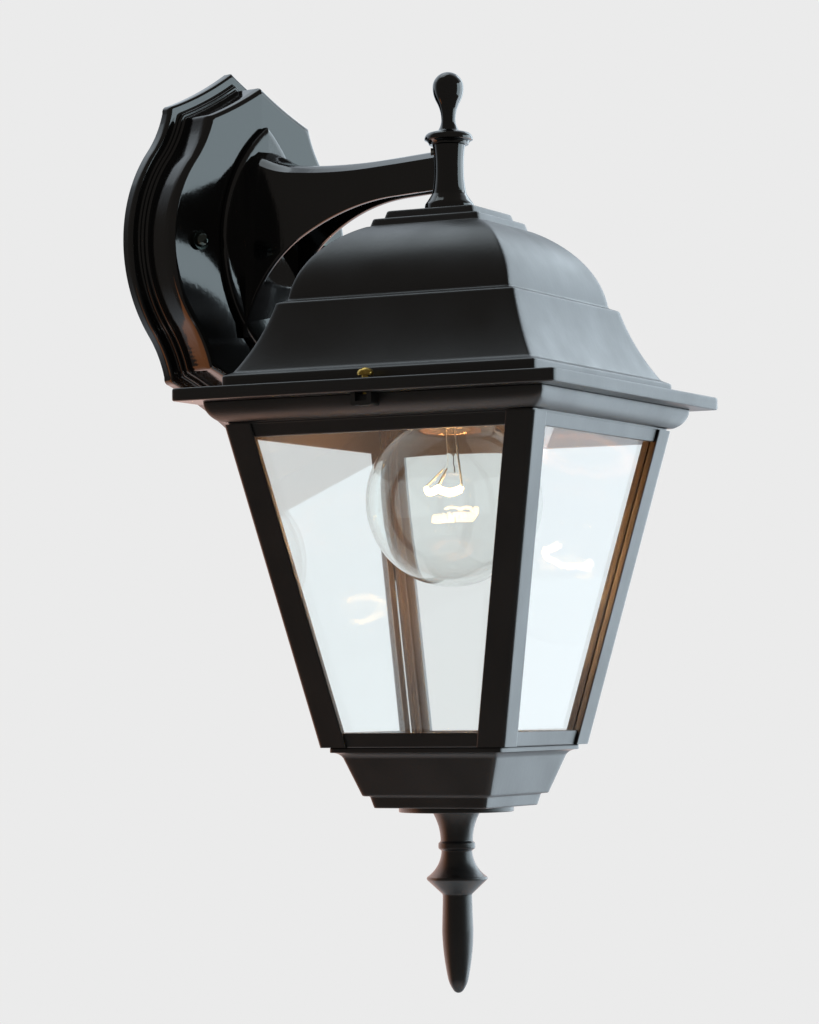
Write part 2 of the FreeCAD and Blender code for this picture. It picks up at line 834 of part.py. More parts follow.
def back_plate():
    pan = plate_outline(pan_inset, 0, pan_crest).common(ridged(pan_crest, pan_fall))
    plate = united([plate_outline(0, 0, rim_depth), plate_outline(step_inset, 0, step_depth), pan])
    plate = plate.cut(plate_outline(pan_inset + plate_wall, 0, plate_hollow_depth()))
    for side in (-1, 1):
        place = side * stud_place
        plate = plate.cut(rod(stud_radius + slip, depth(0, place), depth(pan_crest, place)))
    for height in (arm_screw_high, arm_screw_low):
        plate = plate.cut(rod(arm_screw_radius + slip, depth(0, 0, height), depth(pan_crest, 0, height)))
    hole = rod(lead_hole_radius, depth(0, 0, lead_hole_height), depth(pan_crest, 0, lead_hole_height))
    return plate.cut(hole)


# Wall bracket, studs and nuts
def wall_bracket():
    strap = Part.makeBox(2 * strap_half_length, strap_thick, 2 * strap_half_width,
                         FreeCAD.Vector(-strap_half_length, -strap_thick, -strap_half_width))
    for side in (-1, 1):
        ends = [depth(0, side * slot_place + e * (slot_length / 2 - slot_radius)) for e in (-1, 1)]
        for end in ends:
            strap = strap.cut(rod(slot_radius, end, end + depth(strap_thick)))
        strap = strap.cut(Part.makeBox(ends[1].x - ends[0].x, strap_thick, 2 * slot_radius,
                                       ends[0] + depth(strap_thick, 0, -slot_radius)))
        place = side * stud_place
        strap = strap.cut(rod(stud_radius, depth(0, place), depth(strap_thick, place)))
    return strap.cut(rod(earth_screw_radius, depth(0, earth_place), depth(strap_thick, earth_place)))


def stud_end():
    return pan_face_at(stud_place) + cap_nut_flange_thick + cap_nut_height / 2


def bracket_studs():
    studs = []
    for place in (-stud_place, stud_place):
        studs.append(rod(stud_radius, depth(0, place), depth(stud_end(), place)))
    return Part.makeCompound(studs)


def cap_nuts():
    nuts = []
    for place in (-stud_place, stud_place):
        nut = united([Part.makeCylinder(cap_nut_flange_radius, cap_nut_flange_thick),
                      raised(button_head(cap_nut_radius, cap_nut_height), cap_nut_flange_thick)])
        nut.rotate(ORIGIN, FreeCAD.Vector(1, 0, 0), 90)
        nut.translate(depth(pan_face_at(stud_place - cap_nut_flange_radius), place))
        nuts.append(nut.cut(rod(stud_radius, depth(0, place), depth(stud_end(), place))))
    return Part.makeCompound(nuts)


def raised(shape, height):
    shape.translate(FreeCAD.Vector(0, 0, height))
    return shape


def earth_screw():
    head = button_head(earth_head_radius, earth_head_height)
    head.rotate(ORIGIN, FreeCAD.Vector(1, 0, 0), 90)
    head.translate(depth(strap_thick, earth_place))
    shank = rod(earth_screw_radius, depth(0, earth_place), depth(strap_thick, earth_place))
    return united([head, shank])


# Mains block
def block_screw_places():
    return [(pole * block_pole_pitch, row * block_screw_row) for pole in (-1, 0, 1) for row in (-1, 1)]


def terminal_block():
    front = strap_thick + block_depth
    block = Part.makeBox(2 * block_half_length, block_depth, 2 * block_half_width,
                         FreeCAD.Vector(-block_half_length, -front, -block_half_width))
    for x, z in block_screw_places():
        floor = depth(front - block_well_depth, x, z)
        block = block.cut(rod(block_screw_radius, depth(front, x, z), floor))
    for pole in (-1, 1):
        x = pole * block_pole_pitch / 2
        groove = Part.makeBox(block_groove_width, block_groove_depth, 2 * block_half_width,
                              depth(front, x - block_groove_width / 2, -block_half_width))
        block = block.cut(groove)
    return block


def terminal_screws():
    floor = strap_thick + block_depth - block_well_depth
    top = floor + block_well_depth / 2
    screws = []
    for x, z in block_screw_places():
        screws.append(rod(block_screw_radius, depth(floor, x, z), depth(top, x, z)))
    return Part.makeCompound(screws)


# Arm
def arm_side(lowered, start, end, floor=None):
    """Side view of the arm as a face, its top lowered; floor replaces the curved underside."""
    top = [
        ("line", (axis_reach - arm_level_top, arm_top - lowered)),
        ("flow", (arm_mid_top, arm_top + arm_mid_top_rise - lowered)),
        ("flow", (arm_root_start, arm_root_top - lowered)),
    ]
    edges = trace(in_arm_side, (end, arm_top - lowered), top)
    if floor is None:
        bottom = [
            ("line", (axis_reach - arm_level_bottom, arm_bottom)),
            ("flow", (arm_mid_bottom, arm_bottom - arm_mid_bottom_fall)),
            ("flow", (arm_root_start, arm_root_bottom)),
        ]
        edges += trace(in_arm_side, (end, arm_bottom), bottom)
        foot = (end, arm_bottom)
        root = (arm_root_start, arm_root_bottom)
    else:
        foot = (end, floor)
        root = (arm_root_start, floor)
        edges += trace(in_arm_side, foot, [("line", root)])
    edges += trace(in_arm_side, (end, arm_top - lowered), [("line", foot)])
    edges += trace(in_arm_side, (arm_root_start, arm_root_top - lowered), [("line", root)])
    face = face_of(edges)
    bar = face.extrude(FreeCAD.Vector(4 * arm_root_half, 0, 0))
    bar.translate(FreeCAD.Vector(-2 * arm_root_half, 0, 0))
    if start > arm_root_start:
        keep = Part.makeBox(4 * arm_root_half, end - start, 8 * arm_root_top,
                            FreeCAD.Vector(-2 * arm_root_half, -end, -4 * arm_root_top))
        bar = bar.common(keep)
    return bar


def arm_plan(inset, end):
    """Top view of the arm, drawn in by an inset, extruded upright."""
    edges = []
    for side in (1, -1):
        def space(a, b, side=side):
            return FreeCAD.Vector(side * b, -a, 0)
        moves = [
            ("line", (axis_reach - arm_level_side, arm_half - inset)),
            ("flow", (arm_mid_side, arm_mid_half - inset)),
            ("flow", (arm_root_start, arm_root_half - inset)),
            ("line", (arm_root_start, 0.0)),
        ]
        edges += trace(space, (end, 0.0), [("line", (end, arm_half - inset))] + moves)
    solid = face_of(edges).extrude(FreeCAD.Vector(0, 0, 8 * arm_root_top))
    solid.translate(FreeCAD.Vector(0, 0, -4 * arm_root_top))
    return solid


def arm_arch():
    """Front view of the arm's root: straight sides under a pointed arch."""
    low = 2 * arm_root_bottom
    edges = []
    for side in (1, -1):
        def space(a, b, side=side):
            return FreeCAD.Vector(side * a, 0, b)
        edges += trace(space, (0.0, low), [
            ("line", (arm_arch_half, low)),
            ("line", (arm_arch_half, arm_top - arm_arch_spring)),
            ("bow", (0.0, arm_top + arm_arch_rise), -arm_arch_swell)])
    return face_of(edges).extrude(FreeCAD.Vector(0, -2 * axis_reach, 0))


def arm_flange():
    """Pointed oval with a centre crease, seated on the pan's two faces."""
    middle = (flange_top + flange_bottom) / 2
    foot = FreeCAD.Vector(0, 0, flange_bottom)
    head = FreeCAD.Vector(0, 0, flange_top)
    edges = []
    for side in (1, -1):
        edges.append(Part.Arc(foot, FreeCAD.Vector(side * flange_half, 0, middle), head).toShape())
    oval = face_of(edges).extrude(FreeCAD.Vector(0, -flange_crest, 0))
    return oval.common(ridged(flange_crest, flange_fall)).cut(ridged(pan_crest, pan_fall))


def column():
    return turned((column_ring_radius, 0.0), [
        ("line", (column_ring_radius, column_ring_height)),
        ("line", (column_cove_radius, column_cove_height)),
        ("line", (column_foot_radius, column_foot_height)),
        ("bow", (column_waist_radius, column_waist_height), column_foot_hollow),
        ("bow", (column_top_radius, column_height), column_top_hollow),
    ], column_level)


def arm():
    bar = arm_side(0.0, arm_root_start, axis_reach).common(arm_plan(0.0, axis_reach))
    middle_height = (arm_top + arm_bottom) / 2
    long_edges = []
    for edge in bar.Edges:
        box = edge.BoundBox
        if box.YLength > 1 and box.XMin * box.XMax > 0:
            long_edges.append(edge)
    upper = [e for e in long_edges if e.BoundBox.ZMax > middle_height]
    bar = bar.makeChamfer(arm_top_bevel, upper).common(arm_arch())
    channel = arm_side(channel_roof, channel_start, channel_end, 2 * arm_root_bottom)
    bar = bar.cut(channel.common(arm_plan(channel_wall, axis_reach)))
    whole = united([arm_flange(), bar, column()])
    port = Part.makeBox(2 * wire_port_half, axis_reach - channel_end + overrun,
                        wire_port_high - wire_port_low,
                        FreeCAD.Vector(-wire_port_half, -axis_reach, wire_port_low))
    whole = whole.cut(port)
    tube_bore = Part.makeCylinder(tube_radius, wire_port_high - column_level)
    whole = whole.cut(on_axis(tube_bore, column_level))
    spigot_bore = Part.makeCylinder(spigot_radius, spigot_length)
    whole = whole.cut(on_axis(spigot_bore, column_level + column_height - spigot_length))
    for height in (arm_screw_high, arm_screw_low):
        end = depth(pan_crest + arm_screw_grip, 0, height)
        whole = whole.cut(rod(arm_screw_radius, depth(0, 0, height), end))
    lead_hole_end = depth(channel_start + overrun, 0, lead_hole_height)
    whole = whole.cut(rod(lead_hole_radius, depth(0, 0, lead_hole_height), lead_hole_end))
    return whole.cut(set_screw_shank(0.0, column_top_radius + set_screw_stand))


def arm_screws():
    screws = []
    floor = plate_hollow_depth()
    for height in (arm_screw_high, arm_screw_low):
        head = button_head(arm_screw_head_radius, arm_screw_head_height)
        head.rotate(ORIGIN, FreeCAD.Vector(1, 0, 0), -90)
        head.translate(depth(floor, 0, height))
        end = depth(pan_crest + arm_screw_grip, 0, height)
        screws.append(united([head, rod(arm_screw_radius, depth(floor, 0, height), end)]))
    return Part.makeCompound(screws)


def set_screw_shank(start, reach):
    """Shank that points out of the column, between two distances from its axis."""
    turn = math.radians(set_screw_angle)
    out = FreeCAD.Vector(math.cos(turn), math.sin(turn), 0)
    level = cap_level + set_screw_height
    return on_axis(rod(set_screw_radius, out * start, out * reach), level)


def set_screw():
    turn = math.radians(set_screw_angle)
    out = FreeCAD.Vector(math.cos(turn), math.sin(turn), 0)
    reach = column_top_radius + set_screw_stand
    head = button_head(set_screw_head_radius, set_screw_head_height)
    head.rotate(ORIGIN, FreeCAD.Vector(0, 1, 0), 90)
    head.rotate(ORIGIN, Z_AXIS, set_screw_angle)
    head.translate(out * reach)
    return united([set_screw_shank(spigot_radius, reach), on_axis(head, cap_level + set_screw_height)])


def top_finial():
    body = turned((collar_foot_radius, 0.0), [
        ("line", (collar_foot_radius, collar_foot_height)),
        ("bow", (collar_radius, collar_height), collar_hollow),
        ("bow", (collar_top_radius, collar_top_height), -collar_top_swell),
        ("line", (neck_foot_radius, neck_foot_height)),
        ("bow", (neck_radius, neck_height), neck_hollow),
        ("bow", (neck_top_radius, neck_top_height), neck_top_hollow),
        ("bow", (ball_radius, ball_centre_height), -ball_foot_swell),
        ("bow", (0.0, ball_centre_height + ball_radius), -dome_bow(ball_radius, ball_radius)),
    ])
    spigot = on_axis(Part.makeCylinder(spigot_radius, spigot_length + overrun), -spigot_length)
    body = united([body, spigot])
    body.translate(FreeCAD.Vector(0, 0, column_level + column_height))
    return body


# Tube, washer and nut
def tube_top():
    return column_level + tube_engagement


def threaded_tube():
    low = holder_level - tube_in_holder
    tube = Part.makeCylinder(tube_radius, tube_top() - low, FreeCAD.Vector(0, 0, low))
    bore = Part.makeCylinder(tube_bore_radius, tube_top() - low, FreeCAD.Vector(0, 0, low))
    return on_axis(tube.cut(bore))


def tube_washer():
    low = ceiling_level - swivel_gap - washer_thick
    washer = Part.makeCylinder(washer_radius, washer_thick)
    return on_axis(washer.cut(Part.makeCylinder(tube_radius, washer_thick)), low)


def tube_nut():
    nut = hexagon(nut_across, nut_height, ORIGIN)
    return on_axis(nut.cut(Part.makeCylinder(tube_radius, nut_height)), nut_level)


# Lead from the mains block, through the arm, down the tube
def arm_lead():
    points = [(lead_depth, block_half_width), (lead_depth, lead_hole_height)]
    points += [(axis_reach, wire_port_low + lead_turn_rise), (axis_reach, holder_level - lead_in_holder)]
    edges = []
    here = points[0]
    for corner, after in zip(points[1:-1], points[2:]):
        before = (corner[0] - here[0], corner[1] - here[1])
        following = (after[0] - corner[0], after[1] - corner[1])
        run_in = math.hypot(*before)
        run_out = math.hypot(*following)
        forward = (before[0] * following[0] + before[1] * following[1]) / run_in / run_out
        turn = math.acos(max(-1.0, min(1.0, forward)))
        radius = lead_turn_radius if corner[0] == axis_reach else lead_bend_radius
        cut = radius * math.tan(turn / 2)
        start = (corner[0] - before[0] / run_in * cut, corner[1] - before[1] / run_in * cut)
        end = (corner[0] + following[0] / run_out * cut, corner[1] + following[1] / run_out * cut)
        edges += trace(in_arm_side, here, [("line", start), ("flow", end)])
        here = end
    edges += trace(in_arm_side, here, [("line", points[-1])])
    section = Part.Wire(Part.makeCircle(lead_radius, depth(points[0][0], 0, points[0][1]), Z_AXIS))
    return Part.Wire(edges).makePipeShell([section], True, False)


# Lamp holder, measured down from its top
def holder_cap():
    inside = holder_radius - holder_wall
    edges = trace(in_side, (tube_radius, 0.0), [
        ("line", (holder_neck_radius, 0.0)),
        ("line", (holder_neck_radius, -holder_neck_height)),
        ("line", (holder_shoulder_radius, -holder_shoulder_rise)),
        ("line", (holder_radius, -holder_shoulder_drop)),
        ("line", (holder_radius, -holder_cap_height)),
        ("line", (inside, -holder_cap_height)),
        ("line", (inside, -holder_shoulder_drop)),
        ("line", (holder_shoulder_radius - holder_wall / 2, -holder_shoulder_rise - holder_wall)),
        ("line", (holder_neck_radius - holder_wall / 2, -holder_neck_height - holder_wall)),
        ("line", (tube_radius, -holder_neck_height - holder_wall)),
        ("line", (tube_radius, 0.0)),
    ])
    return on_axis(face_of(edges).revolve(ORIGIN, Z_AXIS, 360), holder_level)


def ring(outer, inner, low, high):
    body = Part.makeCylinder(outer, high - low, FreeCAD.Vector(0, 0, low))
    return body.cut(Part.makeCylinder(inner, high - low, FreeCAD.Vector(0, 0, low)))


def holder_skirt():
    inside = holder_radius - holder_wall
    body = ring(holder_radius, inside, -holder_length, -holder_cap_height)
    lip = ring(inside, insert_bore_radius + sleeve_wall, -holder_length, -holder_length + holder_wall)
    return on_axis(united([body, lip]), holder_level)


def holder_insert():
    outer = holder_radius - holder_wall
    body = ring(outer, insert_bore_radius, -holder_length + holder_wall, -holder_cap_height)
    neck_low = -holder_cap_height
    neck_radius_out = insert_bore_radius + insert_neck_wall
    neck = ring(neck_radius_out, insert_bore_radius, neck_low, -insert_top_drop - insert_disc_thick)
    disc = Part.makeCylinder(neck_radius_out, insert_disc_thick,
                             FreeCAD.Vector(0, 0, -insert_top_drop - insert_disc_thick))
    whole = united([body, neck, disc])
    return on_axis(whole, holder_level)


def holder_sleeve():
    inside = insert_bore_radius - sleeve_wall
    body = ring(insert_bore_radius, inside, -holder_length + holder_wall, -sleeve_top_drop)
    return on_axis(body, holder_level)


def holder_contact():
    top = -insert_top_drop - insert_disc_thick
    foot = -contact_half_length
    heel = foot / 2
    toe = contact_width / 2
    tip = -tip_drop
    outline = [(foot, top), (heel, top), (toe, tip + contact_thick), (toe, tip), (-toe, tip),
               (heel, top - contact_thick), (foot, top - contact_thick), (foot, top)]
    wire = Part.makePolygon([FreeCAD.Vector(x, -contact_width / 2, z) for x, z in outline])
    return on_axis(Part.Face(wire).extrude(FreeCAD.Vector(0, contact_width, 0)), holder_level)


# Bulb, about its ball's centre
def bulb_cap_top():
    return tip_level - tip_height - insulator_height


def bulb_throat_level():
    return bulb_cap_top() - bulb_cap_length + cap_grip


def bulb_profile(inset):
    """Outside of the envelope, or its inside when drawn in by a wall."""
    radius = bulb_radius - inset
    neck = bulb_neck_radius - inset
    rise = math.sqrt(max(radius ** 2 - neck ** 2, 0.0))
    throat = bulb_throat_radius - inset
    top = bulb_throat_level() - ball_level
    edges = [("bow", (radius, 0.0), -radius * (math.sqrt(2) - 1) / math.sqrt(2))]
    chord = math.hypot(radius - neck, rise)
    edges.append(("bow", (neck, rise), -(radius - math.sqrt(radius ** 2 - chord ** 2 / 4))))
    edges.append(("bow", (throat, top), bulb_neck_hollow))
    return (0.0, -radius), edges


def bulb_glass():
    start, moves = bulb_profile(0.0)
    outer = turned(start, moves, ball_level)
    start, moves = bulb_profile(glass_wall)
    inner = turned(start, moves, ball_level)
    return outer.cut(inner)


def bulb_cap():
    low = bulb_throat_level() - cap_grip
    shell = ring(bulb_cap_radius, bulb_cap_radius - bulb_cap_wall, low, bulb_cap_top())
    lid = ring(bulb_cap_radius - bulb_cap_wall, insulator_radius - cap_lid_lap,
               bulb_cap_top() - bulb_cap_wall, bulb_cap_top())
    return on_axis(united([shell, lid]))


def bulb_insulator():
    cone = Part.makeCone(insulator_radius, tip_radius + insulator_rim, insulator_height)
    return on_axis(cone, bulb_cap_top())


def bulb_contact():
    return on_axis(button_head(tip_radius, tip_height), tip_level - tip_height)


def stem_press_level():
    return bulb_throat_level() - stem_press_drop


def button_level():
    return stem_press_level() - stem_rod_length


def bulb_stem():
    top = bulb_throat_level()
    press = stem_press_level()
    button_low = button_level() - button_height
    rim = bulb_throat_radius - glass_wall - stem_seal_gap
    return turned((button_radius, button_low), [
        ("line", (button_radius, button_level())),
        ("line", (stem_rod_radius, button_level())),
        ("line", (stem_rod_radius, press)),
        ("line", (stem_radius, press)),
        ("line", (stem_radius, top - stem_flare_drop)),
        ("line", (rim, top)),
        ("line", (rim - stem_wall, top)),
        ("line", (stem_radius - stem_wall, top - stem_flare_drop)),
    ])


def filament_level():
    """Underside of the filament's strip."""
    return ball_level + filament_rise - wire_radius - 2 * filament_radius


def ring_point(radius, share, level):
    """Point of the filament's ring, by its share of the way from one end to the other."""
    swept = 360 - filament_opening
    turn = math.radians(mount_turn + 90 + swept * (share - 0.5))
    return FreeCAD.Vector(radius * math.cos(turn), radius * math.sin(turn), level)


def bulb_leads():
    """Two lead wires from the press to the ring's ends, and supports from the button."""
    wires = []
    press = stem_press_level()
    low = filament_level() + 2 * filament_radius + wire_radius
    for share in (0.0, 1.0):
        top = ring_point(stem_rod_radius + wire_radius + wire_gap, share, press - wire_radius)
        wires.append(on_axis(rod(wire_radius, top, ring_point(filament_ring, share, low))))
    middle = button_level() - button_height / 2
    for k in range(support_count):
        share = (k + 1) / (support_count + 1)
        start = ring_point(button_radius + wire_radius + wire_gap, share, middle)
        wires.append(on_axis(rod(wire_radius, start, ring_point(filament_ring, share, low))))
    return Part.makeCompound(wires)


def bulb_filament():
    """Coiled wire as a flat strip round an open ring, as wide and as high as the coil."""
    edges = []
    ends = []
    for side in (-1, 1):
        radius = filament_ring + side * filament_radius
        first, middle, last = [ring_point(radius, share, filament_level()) for share in (0.0, 0.5, 1.0)]
        edges.append(Part.Arc(first, middle, last).toShape())
        ends.append((first, last))
    for inner, outer in zip(*ends):
        edges.append(Part.LineSegment(inner, outer).toShape())
    return on_axis(face_of(edges).extrude(FreeCAD.Vector(0, 0, 2 * filament_radius)))


PIECES = {
    "wall_bracket": wall_bracket,
    "bracket_studs": bracket_studs,
    "earth_screw": earth_screw,
    "terminal_block": terminal_block,
    "terminal_screws": terminal_screws,
    "back_plate": back_plate,
    "cap_nuts": cap_nuts,
    "arm": arm,
    "arm_screws": arm_screws,
    "arm_lead": arm_lead,
    "top_finial": top_finial,
    "set_screw": set_screw,
    "threaded_tube": threaded_tube,
    "tube_washer": tube_washer,
    "tube_nut": tube_nut,
    "holder_cap": holder_cap,
    "holder_skirt": holder_skirt,
    "holder_insert": holder_insert,
    "holder_sleeve": holder_sleeve,
    "holder_contact": holder_contact,
    "bulb_cap": bulb_cap,
    "bulb_insulator": bulb_insulator,
    "bulb_contact": bulb_contact,
    "bulb_glass": bulb_glass,
    "bulb_stem": bulb_stem,
    "bulb_leads": bulb_leads,
    "bulb_filament": bulb_filament,
    "roof": roof,
    "roof_screws": roof_screws,
    "cage": cage,
    "pane_right": lambda: pane(0),
    "pane_rear": lambda: pane(1),
    "pane_left": lambda: pane(2),
    "pane_front": lambda: pane(3),
    "base_cup": base_cup,
    "base_screws": base_screws,
    "bottom_finial": bottom_finial,
    "finial_stud": finial_stud,
    "finial_nut": finial_nut,
}

os.makedirs("parts", exist_ok=True)
for name, make in PIECES.items():
    shape = make()
    print(name, shape.isValid(), len(shape.Solids), round(shape.Volume, 1))
    shape.exportStep("parts/" + name + ".step")
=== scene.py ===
import math

import bmesh
import bpy
import numpy as np
from mathutils import Matrix, Vector


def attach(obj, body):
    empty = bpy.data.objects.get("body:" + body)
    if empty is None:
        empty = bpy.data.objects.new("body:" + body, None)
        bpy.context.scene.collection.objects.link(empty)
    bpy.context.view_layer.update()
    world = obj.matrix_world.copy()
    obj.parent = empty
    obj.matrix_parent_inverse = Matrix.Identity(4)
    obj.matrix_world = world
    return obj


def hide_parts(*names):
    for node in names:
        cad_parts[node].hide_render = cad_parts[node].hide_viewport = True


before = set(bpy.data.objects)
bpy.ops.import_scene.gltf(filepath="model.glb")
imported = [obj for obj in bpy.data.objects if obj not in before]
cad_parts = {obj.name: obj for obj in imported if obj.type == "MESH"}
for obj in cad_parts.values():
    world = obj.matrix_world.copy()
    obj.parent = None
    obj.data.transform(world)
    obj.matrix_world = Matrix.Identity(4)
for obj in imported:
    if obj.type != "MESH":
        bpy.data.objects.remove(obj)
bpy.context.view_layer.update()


# Wall bracket with its two studs, and the earth screw.
# A stamped strap of zinc plated steel is screwed to the wall; the studs are riveted into it and
# carry the plate, and the brass earth screw sits in a tapped hole.
def linear(code):
    """Linear colour of an sRGB hex code."""
    parts = [int(code[i:i + 2], 16) / 255 for i in (1, 3, 5)]
    return [p / 12.92 if p <= 0.04045 else ((p + 0.055) / 1.055) ** 2.4 for p in parts] + [1.0]


def node(tree, kind, inputs=None, **settings):
    """Adds a node; each input takes a value, or the node or the output that feeds it."""
    made = tree.nodes.new(kind)
    for name, value in settings.items():
        setattr(made, name, value)
    for name, value in (inputs or {}).items():
        if isinstance(value, bpy.types.Node):
            value = value.outputs[0]
        if isinstance(value, bpy.types.NodeSocket):
            tree.links.new(value, made.inputs[name])
        else:
            made.inputs[name].default_value = value
    return made


def new_finish(name):
    """Empty material, its tree, and the piece's own coordinates for its patterns."""
    finish = bpy.data.materials.new(name)
    finish.use_nodes = True
    tree = finish.node_tree
    tree.nodes.clear()
    return finish, tree, node(tree, "ShaderNodeTexCoord").outputs["Object"]


def mottled_finish(name, patch, tones, shine, detail=2.0, stretch=(1.0, 1.0, 1.0), grain=None, traits=None):
    """Finish that wanders between two tones and two roughnesses over patches of a size in metres.

    Grain is a fine relief, as its size, detail, strength and depth; traits are other shader inputs.
    """
    finish, tree, place = new_finish(name)
    drawn = node(tree, "ShaderNodeMapping", {"Vector": place, "Scale": stretch})
    cloud = node(tree, "ShaderNodeTexNoise", {"Vector": drawn, "Scale": 1 / patch, "Detail": detail})
    tone = node(tree, "ShaderNodeMix", {0: cloud, 6: linear(tones[0]), 7: linear(tones[1])}, data_type="RGBA")
    rough = node(tree, "ShaderNodeMapRange", {0: cloud, 3: shine[0], 4: shine[1]})
    surface = {"Base Color": tone.outputs[2], "Roughness": rough, **(traits or {})}
    if grain:
        size, fineness, strength, depth = grain
        grit = node(tree, "ShaderNodeTexNoise", {"Vector": place, "Scale": 1 / size, "Detail": fineness})
        relief = node(tree, "ShaderNodeBump", {"Strength": strength, "Distance": depth, "Height": grit})
        surface["Normal"] = relief
    shader = node(tree, "ShaderNodeBsdfPrincipled", surface)
    node(tree, "ShaderNodeOutputMaterial", {0: shader})
    return finish


def coat_node(name, finish):
    """Gives a CAD node that stays as it is its finish."""
    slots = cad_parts[name].data.materials
    slots.clear()
    slots.append(finish)


# Zinc plating: a cool grey that is cloudy from the bath, with a soft broken shine.
zinc_plate = mottled_finish("zinc_plated_steel", 0.004, ("#a3a7a6", "#c9cac4"), (0.26, 0.46), detail=4.0,
                            grain=(0.0007, 2.0, 0.15, 0.00005), traits={"Metallic": 1.0})
# Turned brass: warm yellow, dulled in small patches.
turned_brass = mottled_finish("turned_brass", 0.0025, ("#b08a34", "#f0d27a"), (0.2, 0.42), detail=3.0,
                              traits={"Metallic": 1.0})

for name in ("wall_bracket", "bracket_studs"):
    coat_node(name, zinc_plate)
coat_node("earth_screw", turned_brass)


# Mains block on the strap, with its clamp screws.
# A moulded polyamide block with six wells; zinc plated screws clamp the wires in them.
# Polyamide: warm white, slightly waxy, with the fine spark grain of its mould.
polyamide = mottled_finish("moulded_polyamide", 0.009, ("#d9d5c9", "#ece9e0"), (0.52, 0.52),
                           grain=(0.0005, 2.0, 0.3, 0.00006),
                           traits={"Subsurface Weight": 0.1, "Subsurface Scale": 0.001})
coat_node("terminal_block", polyamide)
coat_node("terminal_screws", zinc_plate)


# Back plate.
# One aluminium die casting: a shaped outline, a stepped rim and a raised pan whose front is two
# flat faces that meet in an upright crease. It is painted gloss black and hangs on the studs.
MM = 0.001


def arc(here, there, rise, steps):
    """Points of an arc after its start; rise is its height over the chord, to the left of travel."""
    run = Vector(there) - Vector(here)
    length = run.length
    along = run / length
    left = Vector((-along.y, along.x))
    if abs(rise) < 1e-6:
        return [tuple(Vector(here) + run * k / steps) for k in range(1, steps + 1)]
    half_turn = 2 * math.atan(2 * rise / length)
    radius = length / (2 * math.sin(half_turn))
    points = []
    for k in range(1, steps + 1):
        swing = half_turn * (1 - 2 * k / steps)
        forward = length / 2 - radius * math.sin(swing)
        aside = radius * (math.cos(swing) - math.cos(half_turn))
        points.append(tuple(Vector(here) + along * forward + left * aside))
    return points


def flowing(here, there, heading):
    """Rise of the arc that leaves along a heading, and the heading at its end."""
    run = Vector(there) - Vector(here)
    along = run.normalized()
    bend = math.atan2(along.x * heading[1] - along.y * heading[0], along.dot(Vector(heading)))
    ahead = 2 * along.dot(Vector(heading)) * along - Vector(heading)
    return run.length / 2 * math.tan(bend / 2), tuple(ahead)


def softened(corners, closed=False):
    """Profile with rounded corners: each corner is (a, b, softness) or (a, b, softness, rise of its arc)."""
    dense = []
    for corner in corners:
        if len(corner) > 3:
            dense += [(p, 0.0) for p in arc(dense[-1][0], corner[:2], corner[3], 12)[:-1]]
        dense.append((tuple(corner[:2]), corner[2]))
    points = []
    for k, (point, soft) in enumerate(dense):
        at_end = not closed and k in (0, len(dense) - 1)
        if soft == 0 or at_end:
            points.append(point)
            continue
        here = Vector(point)
        # A corner takes less than half of each side, so that two corners on one side never meet.
        sides = []
        for other in (dense[k - 1][0], dense[(k + 1) % len(dense)][0]):
            run = Vector(other) - here
            sides.append((run.normalized(), min(soft, 0.42 * run.length), min(2 * soft, 0.46 * run.length)))
        (back, near_back, far_back), (ahead, near, far) = sides
        start = here + back * near_back
        end = here + ahead * near
        points.append(tuple(here + back * far_back))
        for t in (0.0, 0.34, 0.66, 1.0):
            points.append(tuple(start * (1 - t) ** 2 + here * (2 * t * (1 - t)) + end * t ** 2))
        points.append(tuple(here + ahead * far))
    return points


def drawn_in(outline, inset, angles):
    """Outline drawn in by an inset, read at a set of angles round its middle."""
    points = np.array(outline)
    ahead = np.roll(points, -1, axis=0) - points
    ahead /= np.linalg.norm(ahead, axis=1)[:, None]
    out = np.stack([ahead[:, 1], -ahead[:, 0]], axis=1)
    before = np.roll(out, 1, axis=0)
    mitre = (out + before) / (1 + (out * before).sum(axis=1))[:, None]
    moved = points - inset * mitre
    start = points[None, :, :]
    run = np.roll(points, -1, axis=0)[None, :, :] - start
    share = ((moved[:, None, :] - start) * run).sum(axis=2) / (run ** 2).sum(axis=2)
    nearest = start + run * np.clip(share, 0, 1)[:, :, None]
    clear = np.sqrt(((moved[:, None, :] - nearest) ** 2).sum(axis=2)).min(axis=1)
    slack = 0.03
    kept = moved[clear > inset - slack]
    turn = np.arctan2(kept[:, 1], kept[:, 0])
    order = np.argsort(turn)
    turn = turn[order]
    reach = np.hypot(kept[:, 0], kept[:, 1])[order]
    turn = np.concatenate([turn[-3:] - 2 * math.pi, turn, turn[:3] + 2 * math.pi])
    reach = np.concatenate([reach[-3:], reach, reach[:3]])
    at = np.interp(angles, turn, reach)
    return [(r * math.cos(a), r * math.sin(a)) for r, a in zip(at, angles)]


def closed_up(skin, mesh, merge, flat):
    """Merges a skin's doubles, turns its faces outwards and writes it to a mesh."""
    bmesh.ops.remove_doubles(skin, verts=skin.verts, dist=merge)
    bmesh.ops.dissolve_degenerate(skin, edges=skin.edges, dist=flat)
    bmesh.ops.recalc_face_normals(skin, faces=skin.faces)
    skin.to_mesh(mesh)
    skin.free()


def smoothed(mesh, sharp_from=38):
    """Smooth shading that keeps edges sharp from an angle in degrees."""
    mesh.shade_smooth()
    mesh.set_sharp_from_angle(angle=math.radians(sharp_from))
    return mesh


